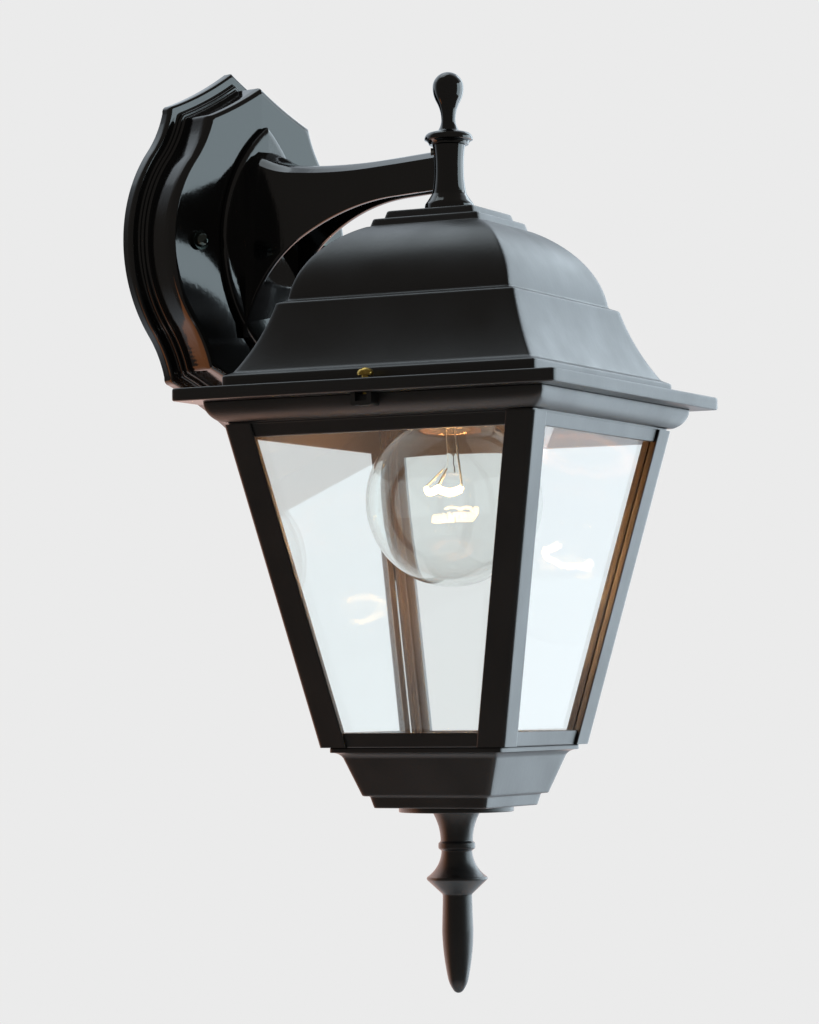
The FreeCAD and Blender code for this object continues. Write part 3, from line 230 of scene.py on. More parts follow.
def lofted(name, runs, where):
    """Mesh of closed skins, each through rows of points; a run that loops has no end caps."""
    whole = bmesh.new()
    for rows, loops in runs:
        skin = bmesh.new()
        rings = [[skin.verts.new(p) for p in row] for row in rows]
        if loops:
            rings.append(rings[0])
        for low, high in zip(rings, rings[1:]):
            for k in range(len(low)):
                after = (k + 1) % len(low)
                skin.faces.new((low[k], low[after], high[after], high[k]))
        if not loops:
            for ring in (rings[0], rings[-1]):
                if (ring[0].co - ring[len(ring) // 2].co).length > 1e-5:
                    skin.faces.new(ring)
        part = bpy.data.meshes.new(name)
        closed_up(skin, part, 1e-4, 1e-5)
        whole.from_mesh(part)
        bpy.data.meshes.remove(part)
    mesh = bpy.data.meshes.new(name)
    whole.to_mesh(mesh)
    whole.free()
    mesh.transform(where)
    return smoothed(mesh)


def creased(mesh, crest, slack):
    """Keeps the upright crease sharp in the middle of a front, near its distance from the wall."""
    for edge in mesh.edges:
        ends = [mesh.vertices[v].co / MM for v in edge.vertices]
        if all(abs(end.x) < 0.01 and abs(end.y + crest) < slack for end in ends):
            edge.use_edge_sharp = True


def fitted(name, mesh, finish, body, slot, *replaced):
    """Object of a finished mesh, riding on its body in place of the CAD nodes that it stands for."""
    mesh.materials.clear()
    mesh.materials.append(finish)
    made = bpy.data.objects.new(name, mesh)
    bpy.context.scene.collection.objects.link(made)
    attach(made, body)
    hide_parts(*replaced)
    return made


def black_paint(name, peel_depth, grain_depth, low_shine, high_shine):
    """Stoved paint on a casting: deep black, orange peel, and the casting's grain under it."""
    finish, tree, place = new_finish(name)
    # Orange peel lumps are about 1.6 mm across; the sand grain under the paint about 0.5 mm.
    peel = node(tree, "ShaderNodeTexNoise", {"Vector": place, "Scale": 1 / 0.0016, "Detail": 1.0})
    grain = node(tree, "ShaderNodeTexNoise",
                 {"Vector": place, "Scale": 1 / 0.0005, "Detail": 2.0, "Roughness": 0.6})
    # Long upright sags where the wet paint ran, 2 mm wide and ten times as long.
    drawn = node(tree, "ShaderNodeMapping", {"Vector": place, "Scale": (1.0, 1.0, 0.1)})
    sag = node(tree, "ShaderNodeTexNoise", {"Vector": drawn, "Scale": 1 / 0.002, "Detail": 2.0})
    cloud = node(tree, "ShaderNodeTexNoise", {"Vector": place, "Scale": 1 / 0.02, "Detail": 3.0})
    shine = node(tree, "ShaderNodeMapRange", {0: cloud, 1: 0.3, 2: 0.7, 3: low_shine, 4: high_shine})
    tone = node(tree, "ShaderNodeMix",
                {0: cloud, 6: linear("#040404"), 7: linear("#0b0b0b")}, data_type="RGBA")
    under = {}
    for height, depth in ((peel, peel_depth), (sag, peel_depth), (grain, grain_depth)):
        relief = node(tree, "ShaderNodeBump", {"Strength": 0.5, "Distance": depth, "Height": height, **under})
        under = {"Normal": relief}
    shader = node(tree, "ShaderNodeBsdfPrincipled",
                  {"Base Color": tone.outputs[2], "Roughness": shine, "Specular IOR Level": 1.0, **under})
    node(tree, "ShaderNodeOutputMaterial", {0: shader})
    return finish


plate_paint = black_paint("stoved_black_paint_smooth", 0.00002, 0.000003, 0.06, 0.11)

bulge = 50.2
neck = (38.3, 34.5)
corner_low = (30.9, 49.5)
corner_high = (28.8, 52.4)
corner_hollow = 0.8
apex = (0.0, 67.6)
top_swell = 0.9
edge_ease = 0.3
rim_depth = 4.8
step_inset = 3.9
step_depth = 6.6
pan_inset = 5.9
pan_draft = 0.4
pan_crest = 21.6
pan_fall = 0.028
pan_root = 8.0
face_start = pan_inset + 5
hollow_inset = pan_inset + 2.8
hollow_floor = hollow_inset + 3
hollow_depth = 17.4


def pan_face(x):
    """Distance from the wall to the front of the pan."""
    return pan_crest - pan_fall * abs(x)


rise, heading = flowing((bulge, 0.0), neck, (0.0, 1.0))
quarter = [(bulge, 0.0)] + arc((bulge, 0.0), neck, rise, 24)
rise, heading = flowing(neck, corner_low, heading)
quarter += arc(neck, corner_low, rise, 12) + arc(corner_low, corner_high, -corner_hollow, 5)
quarter += arc(corner_high, apex, top_swell, 20)
plate_outline = quarter[:-1] + [(-x, z) for x, z in quarter[:0:-1]]
plate_outline += [(-x, -z) for x, z in quarter[:-1]] + [(x, -z) for x, z in quarter[:0:-1]]
# Degrees of a quarter turn and the steps in them; they are finer round the corner and the apex.
spans = [(0, 54, 36), (54, 66, 24), (66, 84, 12), (84, 90, 8)]
first_quarter = [math.radians(a + (b - a) * k / n) for a, b, n in spans for k in range(n)]
half_turn = first_quarter + [math.pi / 2] + [math.pi - a for a in first_quarter[:0:-1]]
plate_angles = sorted(half_turn + [-math.pi] + [-a for a in half_turn[:0:-1]])

rows = []
inner_ring = drawn_in(plate_outline, hollow_floor, plate_angles)
for share in (0.0, 0.3, 0.6, 0.9):
    rows.append([(x * share, -hollow_depth, z * share) for x, z in inner_ring])
back_run = softened([
    (hollow_floor, hollow_depth, 0), (hollow_inset, hollow_depth, 1.0), (hollow_inset, 0, 0.4),
    (edge_ease, 0, 0)])
for inset, depth in back_run:
    rows.append([(x, -depth, z) for x, z in drawn_in(plate_outline, inset, plate_angles)])
even_face = 20.0
front_run = softened([
    (edge_ease, 0, 0), (0, edge_ease, 0), (0, rim_depth, 1.1), (step_inset, rim_depth, 0.7),
    (step_inset, step_depth, 0.9), (pan_inset, step_depth, 0.8), (pan_inset + pan_draft, even_face, 1.9),
    (face_start, even_face, 0)])
for inset, depth in front_run[1:]:
    row = []
    for x, z in drawn_in(plate_outline, inset, plate_angles):
        reach = depth
        if depth > pan_root:
            reach = pan_root + (depth - pan_root) * (pan_face(x) - pan_root) / (even_face - pan_root)
        row.append((x, -reach, z))
    rows.append(row)
last_ring = drawn_in(plate_outline, face_start, plate_angles)
for share in (0.95, 0.8, 0.6, 0.4, 0.2, 0.0):
    rows.append([(x * share, -pan_face(x * share), z * share) for x, z in last_ring])
plate_mesh = lofted("back_plate_casting", [(rows, False)], Matrix.Scale(MM, 4))
creased(plate_mesh, pan_crest, 2.6)
fitted("back_plate_casting", plate_mesh, plate_paint, "wall_arm", "black_paint", "back_plate")


# Cap nuts on the two studs, in front of the pan.
# Small domed nuts with a collar, turned from steel and blackened; they draw the plate back to the
# wall bracket.
def new_tree(name, sizes):
    """Geometry tree with its inputs: the start, sizes as (name, kind of socket), and the finish."""
    tree = bpy.data.node_groups.new(name, "GeometryNodeTree")
    tree.interface.new_socket("Geometry", in_out="OUTPUT", socket_type="NodeSocketGeometry")
    for label, kind in (("Geometry", "Geometry"), *sizes, ("Finish", "Material")):
        tree.interface.new_socket(label, in_out="INPUT", socket_type="NodeSocket" + kind)
    return tree, node(tree, "NodeGroupInput").outputs


def close_tree(tree, shape, finish):
    """Ends a tree: its instances are made real and take the finish."""
    real = node(tree, "GeometryNodeRealizeInstances", {0: shape})
    painted = node(tree, "GeometryNodeSetMaterial", {"Geometry": real, "Material": finish})
    node(tree, "NodeGroupOutput", {0: painted})
    return tree


fixing_sizes = ("Head Radius", "Head Height", "Collar Radius", "Collar Height", "Shank Radius",
                "Shank Length", "Slot Width", "Slot Depth")


def fixing_tree():
    """Round-headed fixings on points; each point's axis says which way its head faces."""
    tree, given = new_tree("round_headed_fixings", [(size, "Float") for size in fixing_sizes])
    # The head is the upper half of a flattened ball, with a slot across it where a depth is given.
    ball = node(tree, "GeometryNodeMeshUVSphere", {"Segments": 32, "Rings": 24, "Radius": 1.0})
    ball_size = node(tree, "ShaderNodeCombineXYZ",
                     {0: given["Head Radius"], 1: given["Head Radius"], 2: given["Head Height"]})
    dome = node(tree, "GeometryNodeTransform", {"Geometry": ball, "Scale": ball_size})
    wide = node(tree, "ShaderNodeMath", {0: given["Head Radius"], 1: 3.0}, operation="MULTIPLY")
    deep = node(tree, "ShaderNodeMath", {0: given["Slot Depth"], 1: 2.0}, operation="MULTIPLY")
    half_down = node(tree, "ShaderNodeMath", {0: given["Head Height"], 1: -0.5}, operation="MULTIPLY")
    blocks = []
    for breadth, height, level in ((wide, given["Head Height"], half_down),
                                   (given["Slot Width"], deep, given["Head Height"])):
        size = node(tree, "ShaderNodeCombineXYZ", {0: wide, 1: breadth, 2: height})
        cube = node(tree, "GeometryNodeMeshCube", {"Size": size})
        shift = node(tree, "ShaderNodeCombineXYZ", {2: level})
        blocks.append(node(tree, "GeometryNodeTransform", {"Geometry": cube, "Translation": shift}))
    below, slot = blocks
    slotted = node(tree, "FunctionNodeCompare", {0: given["Slot Depth"], 1: 0.0}, operation="GREATER_THAN")
    slot_or_none = node(tree, "GeometryNodeSwitch", {"Switch": slotted, "True": slot}, input_type="GEOMETRY")
    head = node(tree, "GeometryNodeMeshBoolean", {"Mesh 1": dome}, operation="DIFFERENCE")
    for cutter in (below, slot_or_none):
        tree.links.new(cutter.outputs[0], head.inputs["Mesh 2"])
    whole = node(tree, "GeometryNodeJoinGeometry", {0: head})
    rods = (("Collar Radius", "Collar Height", 32), ("Shank Radius", "Shank Length", 20))
    for radius, length, sides in rods:
        rod = node(tree, "GeometryNodeMeshCylinder",
                   {"Vertices": sides, "Radius": given[radius], "Depth": given[length]})
        drop = node(tree, "ShaderNodeMath", {0: given[length], 1: -0.5}, operation="MULTIPLY")
        shift = node(tree, "ShaderNodeCombineXYZ", {2: drop})
        under = node(tree, "GeometryNodeTransform", {"Geometry": rod, "Translation": shift})
        tree.links.new(under.outputs[0], whole.inputs[0])
    axis = node(tree, "GeometryNodeInputNamedAttribute", {"Name": "axis"}, data_type="FLOAT_VECTOR")
    facing = node(tree, "FunctionNodeAlignRotationToVector", {"Vector": axis}, axis="Z")
    placed = node(tree, "GeometryNodeInstanceOnPoints",
                  {"Points": given["Geometry"], "Instance": whole, "Rotation": facing})
    return close_tree(tree, placed, given["Finish"])


fixings = fixing_tree()


def grown(name, start, tree, sizes):
    """Plain mesh that a tree makes from a start mesh."""
    source = bpy.data.objects.new(name, start)
    bpy.context.scene.collection.objects.link(source)
    modifier = source.modifiers.new(tree.name, "NODES")
    modifier.node_group = tree
    for item in tree.interface.items_tree:
        if item.in_out == "INPUT" and item.name in sizes:
            modifier[item.identifier] = sizes[item.name]
    shaped = source.evaluated_get(bpy.context.evaluated_depsgraph_get())
    mesh = bpy.data.meshes.new_from_object(shaped)
    source.modifiers.remove(modifier)
    bpy.data.objects.remove(source)
    mesh.name = name
    return smoothed(mesh)


def fixing_set(name, seats, finish, head, collar, shank, slot):
    """Mesh of one set of fixings, in millimetres.

    A seat is (place, axis). Head, collar and shank are (radius, length), and a slot is (width, depth).
    """
    start = bpy.data.meshes.new(name + "_seats")
    start.from_pydata([Vector(place) * MM for place, axis in seats], [], [])
    axes = start.attributes.new("axis", "FLOAT_VECTOR", "POINT")
    for k, (place, axis) in enumerate(seats):
        axes.data[k].vector = Vector(axis)
    sizes = {"Finish": finish}
    for label, value in zip(fixing_sizes, (*head, *collar, *shank, *slot)):
        sizes[label] = value * MM
    return grown(name, start, fixings, sizes)


# Blackened steel: dark grey-green with a hard bright shine on its dome.
blackened_steel = mottled_finish("blackened_steel", 0.0015, ("#4a524f", "#68726e"), (0.16, 0.16),
                                 traits={"Metallic": 1.0})

stud_place = 31.0
collar_height = 1.4
nut_seat = pan_face(stud_place) + collar_height
nut_mesh = fixing_set(
    "cap_nuts_turned", [((s * stud_place, -nut_seat, 0), (0, -1, 0)) for s in (-1, 1)], blackened_steel,
    head=(2.8, 3.4), collar=(3.6, collar_height), shank=(2.0, collar_height), slot=(0.0, 0.0))
fitted("cap_nuts_turned", nut_mesh, blackened_steel, "wall_arm", "black_paint", "cap_nuts")


# Arm.
# One die casting: a creased oval flange on the pan, a curved channel arm that is open underneath for
# the lead, and the turned column at its end. Two screws hold the flange from behind the plate.
axis_reach = 121.0
flange_crest = 25.2
flange_fall = 0.085
flange_low = (0.0, -43.0)
flange_high = (0.0, 44.7)
flange_half = 20.8
flange_thick = 3.0
flange_flat = 5.0
flange_outline = [flange_low] + arc(flange_low, flange_high, -flange_half, 40)
flange_outline += [(-x, z) for x, z in flange_outline[-2:0:-1]]
flange_angles = [math.radians(-180 + 3 * k) for k in range(120)]
rows = []
outer_ring = drawn_in(flange_outline, 0.0, flange_angles)
for share in (0.0, 0.5):
    rows.append([(x * share, -pan_face(x * share), z * share) for x, z in outer_ring])
flange_edge = softened([(0.4, 0, 0), (0, 0.4, 0), (0, flange_thick, 1.1), (flange_flat, flange_thick, 0)])
for inset, height in flange_edge:
    row = []
    for x, z in drawn_in(flange_outline, inset, flange_angles):
        front = flange_crest - flange_fall * abs(x)
        row.append((x, -(pan_face(x) + height / flange_thick * (front - pan_face(x))), z))
    rows.append(row)
last_ring = drawn_in(flange_outline, flange_flat, flange_angles)
for share in (0.9, 0.6, 0.3, 0.0):
    rows.append([(x * share, flange_fall * abs(x * share) - flange_crest, z * share) for x, z in last_ring])
flange_run = (rows, False)

# Top, underside and half-width of the arm, from the column back to the root.
root = 23.0
arm_end = 117.5
arm_top = 24.9
arm_bottom = 10.4
arm_half = 4.0


def graded(start, bend, points):
    """Curve that is level to a bend and then flows through points, as sorted distances and values."""
    line = [start, bend]
    heading = (-1.0, 0.0)
    for point in points:
        rise, heading = flowing(line[-1], point, heading)
        line += arc(line[-1], point, rise, 24)
    line.sort()
    return [p[0] for p in line], [p[1] for p in line]


top_line = graded((axis_reach, arm_top), (84.0, arm_top), [(44.0, 27.6), (root, 36.6)])
under_line = graded((axis_reach, arm_bottom), (96.0, arm_bottom), [(50.0, 0.0), (root, -35.0)])
side_line = graded((axis_reach, arm_half), (108.0, arm_half), [(52.0, 7.1), (root, 11.6)])
arch_line = sorted([(12.6, 23.0)] + arc((12.6, 23.0), (0.0, 38.5), -2.2, 24))
channel_wall = 1.7
channel_roof = 3.0
channel_start = 32.0
channel_end = 116.0
edge_bevel = 2.9
bevel_soft = 0.5
bevel_tail = 0.02
arch_blend = 1.5
arch_sink = 0.35
half_across = [math.sin(math.radians(a)) for a in (25, 40, 50, 60, 70, 80, 90)]
across = [-share for share in half_across[::-1]] + [0.0] + half_across


def arm_section(distance, open_below):
    """Ring of points round the arm at a distance from the wall, with or without its channel."""
    half = float(np.interp(distance, *side_line))
    top = float(np.interp(distance, *top_line))
    low = float(np.interp(distance, *under_line))
    upper = []
    for share in across:
        x = share * half
        over = edge_bevel - half + abs(x)
        level = top - max(0.0, 0.5 * (over + math.hypot(over, bevel_soft)) - bevel_tail)
        arch = float(np.interp(abs(x), [p[0] for p in arch_line], [p[1] for p in arch_line]))
        blend = max(0.0, arch_blend - abs(level - arch)) / arch_blend
        upper.append((x, min(level, arch) - blend * blend * arch_sink))
    inside = half - channel_wall
    middle = len(across) // 2
    crown = min(top, upper[middle][1]) - channel_roof if open_below else low
    shoulder = min(crown, upper[0][1] - channel_roof + edge_bevel) if open_below else low
    soft = 0.5
    cut_back = 0.3 * soft
    lift = soft if open_below else 0.0
    right = [(half, upper[-1][1] * 0.6 + low * 0.4), (half, low + 2 * soft), (half, low + soft),
             (half - cut_back, low + cut_back), (half - soft, low), (inside + soft, low),
             (inside + cut_back, low + 0.3 * lift), (inside, low + lift), (inside, low + 2 * lift),
             (inside, shoulder * 0.9 + low * 0.1), (inside, shoulder)]
    lower = right + [(inside * 0.5, crown), (0.0, crown), (-inside * 0.5, crown)]
    lower += [(-x, z) for x, z in right[::-1]]
    return [(x, -distance, z) for x, z in upper + lower]


stations = [root + 1.5 * k for k in range(6)] + [channel_start]
rows = [arm_section(d, False) for d in stations]
open_count = 46
open_step = (channel_end - channel_start) / open_count
rows += [arm_section(channel_start + open_step * k, True) for k in range(open_count + 1)]
rows += [arm_section(d, False) for d in (channel_end, arm_end)]
arm_run = (rows, False)


def turned(profile, loops, steps=64):
    """Rows of a turned piece from its profile of radii and heights; poles close it where it doesn't loop."""
    ways = [(math.cos(2 * math.pi * k / steps), math.sin(2 * math.pi * k / steps)) for k in range(steps)]
    return [[(radius * x, radius * y, height) for x, y in ways] for radius, height in profile], loops


column_level = 2.4
column = softened([
    (3.9, 0, 0), (8.8, 0, 0.4), (8.8, 2.6, 0.7), (7.4, 4.5, 0.5), (6.25, 6.3, 0.4), (5.25, 15.6, 0, 0.3),
    (5.9, 24.0, 0.4, 0.2), (3.0, 24.0, 0), (3.0, 8.0, 0), (3.9, 7.9, 0)], closed=True)
column_rows = []
for row in turned(column, True)[0]:
    column_rows.append([(x, y - axis_reach, z + column_level) for x, y, z in row])
arm_mesh = lofted("arm_casting", [flange_run, arm_run, (column_rows, True)], Matrix.Scale(MM, 4))
creased(arm_mesh, flange_crest, 0.4)
fitted("arm_casting", arm_mesh, plate_paint, "wall_arm", "black_paint", "arm")


# Screws of the arm, and the lead that runs through it.
# Zinc plated screws come from behind the plate; the lead is a pale sleeved pair of wires from the
# mains block, along the arm's channel and down the column.
# Silicone sleeve: a pale diagonal braid, dry and matt, 1 mm to the plait.
sleeve, tree, place = new_finish("braided_silicone_sleeve")
one_way = node(tree, "ShaderNodeMapping", {"Vector": place, "Rotation": (0.0, math.radians(45), 0.0)})
plait = node(tree, "ShaderNodeTexWave",
             {"Vector": one_way, "Scale": 0.314 / 0.001, "Distortion": 0.6}, bands_direction="DIAGONAL")
tone = node(tree, "ShaderNodeMix",
            {0: plait.outputs[1], 6: linear("#b7ae9c"), 7: linear("#e6dfd0")}, data_type="RGBA")
relief = node(tree, "ShaderNodeBump", {"Strength": 0.5, "Distance": 0.0001, "Height": plait.outputs[1]})
shader = node(tree, "ShaderNodeBsdfPrincipled",
              {"Base Color": tone.outputs[2], "Roughness": 0.75, "Normal": relief})
node(tree, "ShaderNodeOutputMaterial", {0: shader})

coat_node("arm_screws", zinc_plate)
coat_node("arm_lead", sleeve)


# Top finial on the column, and the set screw that locks it.
# The finial is turned from bar with a collar, a slim neck and a ball, and painted with the arm; its
# spigot sits in the column, held by the small slotted screw in the column's side.
column_top = 26.4
ball_radius = 5.5
ball_height = 20.6
ball = []
for k in range(1, 15):
    swing = math.pi / 2 * k / 14
    ball.append((max(0.0, ball_radius * math.cos(swing)), ball_height + ball_radius * math.sin(swing)))
finial = softened([
    (0.0, -6.0, 0), (3.0, -6.0, 0.3), (3.0, 0.0, 0), (7.1, 0.0, 0.2), (7.1, 0.4, 0.2), (8.6, 1.7, 0.5, 0.2),
    (7.2, 4.2, 0.5, -0.5), (3.8, 5.1, 0.5), (2.55, 9.6, 0, 0.4), (4.2, 15.4, 0, 0.35),
    (ball_radius, ball_height, 0, -0.35)]) + ball
on_axis = Matrix.Translation((0, -axis_reach * MM, 0)) @ Matrix.Scale(MM, 4)
finial_place = on_axis @ Matrix.Translation((0, 0, column_top))
finial_mesh = lofted("top_finial_turned", [turned(finial, False)], finial_place)
fitted("top_finial_turned", finial_mesh, plate_paint, "wall_arm", "black_paint", "top_finial")

screw_turn = math.radians(134.0)
screw_out = Vector((math.cos(screw_turn), math.sin(screw_turn), 0))
screw_level = 24.1
screw_reach = 6.4
screw_seat = Vector((0, -axis_reach, screw_level)) + screw_out * screw_reach
set_screw_mesh = fixing_set(
    "set_screw_slotted", [(screw_seat, screw_out)], zinc_plate,
    head=(1.8, 2.5), collar=(1.3, 0.6), shank=(1.2, 3.6), slot=(0.5, 0.8))
fitted("set_screw_slotted", set_screw_mesh, zinc_plate, "wall_arm", "zinc_steel", "set_screw")


# Threaded tube, washer and nut, and the lamp holder that hangs on the tube.
# The tube and nut are zinc plated steel. The holder's cap and skirt are moulded phenolic, screwed
# together round a ceramic insert with a brass sleeve and contact.
# Phenolic: near black, dense, half matt, faintly mottled from the press.
phenolic = mottled_finish("moulded_phenolic", 0.003, ("#17130f", "#2e2822"), (0.32, 0.5), detail=4.0,
                          traits={"IOR": 1.6})
# Steatite ceramic: off-white, unglazed, with a fine open grain.
steatite = mottled_finish("unglazed_steatite", 0.0008, ("#d8d0bf", "#efe9dc"), (0.7, 0.7), detail=3.0,
                          grain=(0.0008, 3.0, 0.4, 0.00005))

for name in ("threaded_tube", "tube_washer", "tube_nut"):
    coat_node(name, zinc_plate)
for name in ("holder_cap", "holder_skirt"):
    coat_node(name, phenolic)
coat_node("holder_insert", steatite)
for name in ("holder_sleeve", "holder_contact"):
    coat_node(name, turned_brass)


# Bulb: screw cap, blown envelope, glass stem, lead wires and the glowing filament.
# The cap is rolled aluminium with a black moulded insulator and a soldered contact. The envelope is
# blown soda-lime glass, and the coiled tungsten wire hangs in an open ring on its support wires.
# Rolled aluminium: light grey with fine bands round the cap.
rolled_aluminium = mottled_finish("rolled_aluminium", 0.0008, ("#b4b4b0", "#dadad6"), (0.22, 0.4), detail=3.0,
                                  stretch=(0.05, 0.05, 1.0), traits={"Metallic": 1.0})

# Blown glass: clear and colourless, with faint waves that bend what is behind it.
blown_glass, tree, place = new_finish("blown_soda_lime_glass")
wave = node(tree, "ShaderNodeTexNoise", {"Vector": place, "Scale": 1 / 0.02})
relief = node(tree, "ShaderNodeBump", {"Strength": 0.2, "Distance": 0.0002, "Height": wave})
shader = node(tree, "ShaderNodeBsdfPrincipled",
              {"Base Color": linear("#fbfdfc"), "Roughness": 0.0, "IOR": 1.51, "Transmission Weight": 1.0,
               "Normal": relief})
node(tree, "ShaderNodeOutputMaterial", {0: shader})

# Tungsten at about 2700 K: nearly white in the picture, with an orange edge.
hot_tungsten, tree, place = new_finish("glowing_tungsten")
turns = node(tree, "ShaderNodeTexNoise", {"Vector": place, "Scale": 1 / 0.003})
tone = node(tree, "ShaderNodeMix", {0: turns, 6: linear("#ffb45a"), 7: linear("#ffd9a0")}, data_type="RGBA")
shader = node(tree, "ShaderNodeBsdfPrincipled",
              {"Base Color": linear("#3a3633"), "Metallic": 1.0, "Roughness": 0.4,
               "Emission Color": tone.outputs[2], "Emission Strength": 600.0})
node(tree, "ShaderNodeOutputMaterial", {0: shader})

coat_node("bulb_cap", rolled_aluminium)
coat_node("bulb_insulator", phenolic)
coat_node("bulb_contact", zinc_plate)
coat_node("bulb_stem", blown_glass)
coat_node("bulb_leads", zinc_plate)

bulb_radius = 30.4
bulb_neck = 17.0
throat_radius = 12.6
glass_wall = 0.6
ball_level = -100.1
throat_level = -49.2
shoulder_swell = 1.2


def envelope(inset):
    """Profile of the envelope from its foot up to the throat."""
    radius = bulb_radius - inset
    neck_radius = bulb_neck - inset
    end = math.acos(neck_radius / radius)
    points = []
    for k in range(41):
        swing = -math.pi / 2 + (end + math.pi / 2) * k / 40
        points.append((max(0.0, radius * math.cos(swing)), ball_level + radius * math.sin(swing)))
    points[0] = (0.0, points[0][1])
    return points + arc(points[-1], (throat_radius - inset, throat_level), shoulder_swell, 14)


bulb_profile = envelope(0.0) + envelope(glass_wall)[::-1]
bulb_mesh = lofted("bulb_envelope", [turned(bulb_profile, False, 96)], on_axis)
bulb_envelope = fitted("bulb_envelope", bulb_mesh, blown_glass, "wall_arm", "bulb_glass", "bulb_glass")
bulb_envelope.visible_shadow = False
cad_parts["bulb_stem"].visible_shadow = False


def coil_tree():
    """Coil of wire along a path."""
    sizes = ("Coil Radius", "Wire Radius", "Turns")
    tree, given = new_tree("coiled_filament", [(size, "Float") for size in sizes])
    path = node(tree, "GeometryNodeMeshToCurve", {0: given["Geometry"]})
    fine = node(tree, "GeometryNodeResampleCurve", {"Curve": path, "Count": 1040})
    along = node(tree, "GeometryNodeSplineParameter").outputs["Factor"]
    angle = node(tree, "ShaderNodeMath", {0: along, 1: given["Turns"]}, operation="MULTIPLY")
    swing = node(tree, "ShaderNodeMath", {0: angle, 1: 2 * math.pi}, operation="MULTIPLY")
    normal = node(tree, "GeometryNodeInputNormal")
    tangent = node(tree, "GeometryNodeInputTangent")
    side = node(tree, "ShaderNodeVectorMath", {0: normal, 1: tangent}, operation="CROSS_PRODUCT")
    parts = []
    for way, wave in ((normal, "COSINE"), (side, "SINE")):
        share = node(tree, "ShaderNodeMath", {0: swing}, operation=wave)
        parts.append(node(tree, "ShaderNodeVectorMath", {0: way, 3: share}, operation="SCALE"))
    out = node(tree, "ShaderNodeVectorMath", {0: parts[0], 1: parts[1]}, operation="ADD")
    shift = node(tree, "ShaderNodeVectorMath", {0: out, 3: given["Coil Radius"]}, operation="SCALE")
    coil = node(tree, "GeometryNodeSetPosition", {"Geometry": fine, "Offset": shift})
    wire = node(tree, "GeometryNodeCurvePrimitiveCircle", {"Resolution": 6, "Radius": given["Wire Radius"]})
    skin = node(tree, "GeometryNodeCurveToMesh", {"Curve": coil, "Profile Curve": wire, "Fill Caps": True})
    return close_tree(tree, skin, given["Finish"])


filament_level = -95.75
ring_radius = 8.8
ring_open = 130.0
ring_middle = 135.0
ring_spans = 4
sag = 1.3
path_steps = 96
path = []
for k in range(path_steps + 1):
    share = k / path_steps
    swing = math.radians(ring_middle + (360 - ring_open) * (share - 0.5))
    hang = sag * abs(math.sin(ring_spans * math.pi * share))
    path.append((ring_radius * math.cos(swing), ring_radius * math.sin(swing), filament_level - hang))
path_mesh = bpy.data.meshes.new("filament_path")
path_mesh.from_pydata([on_axis @ Vector(p) for p in path], [(k, k + 1) for k in range(path_steps)], [])
filament_mesh = grown(
    "filament_coil", path_mesh, coil_tree(),
    {"Coil Radius": 0.7 * MM, "Wire Radius": 0.26 * MM, "Turns": 46.0, "Finish": hot_tungsten})
fitted("filament_coil", filament_mesh, hot_tungsten, "wall_arm", "filament", "bulb_filament")


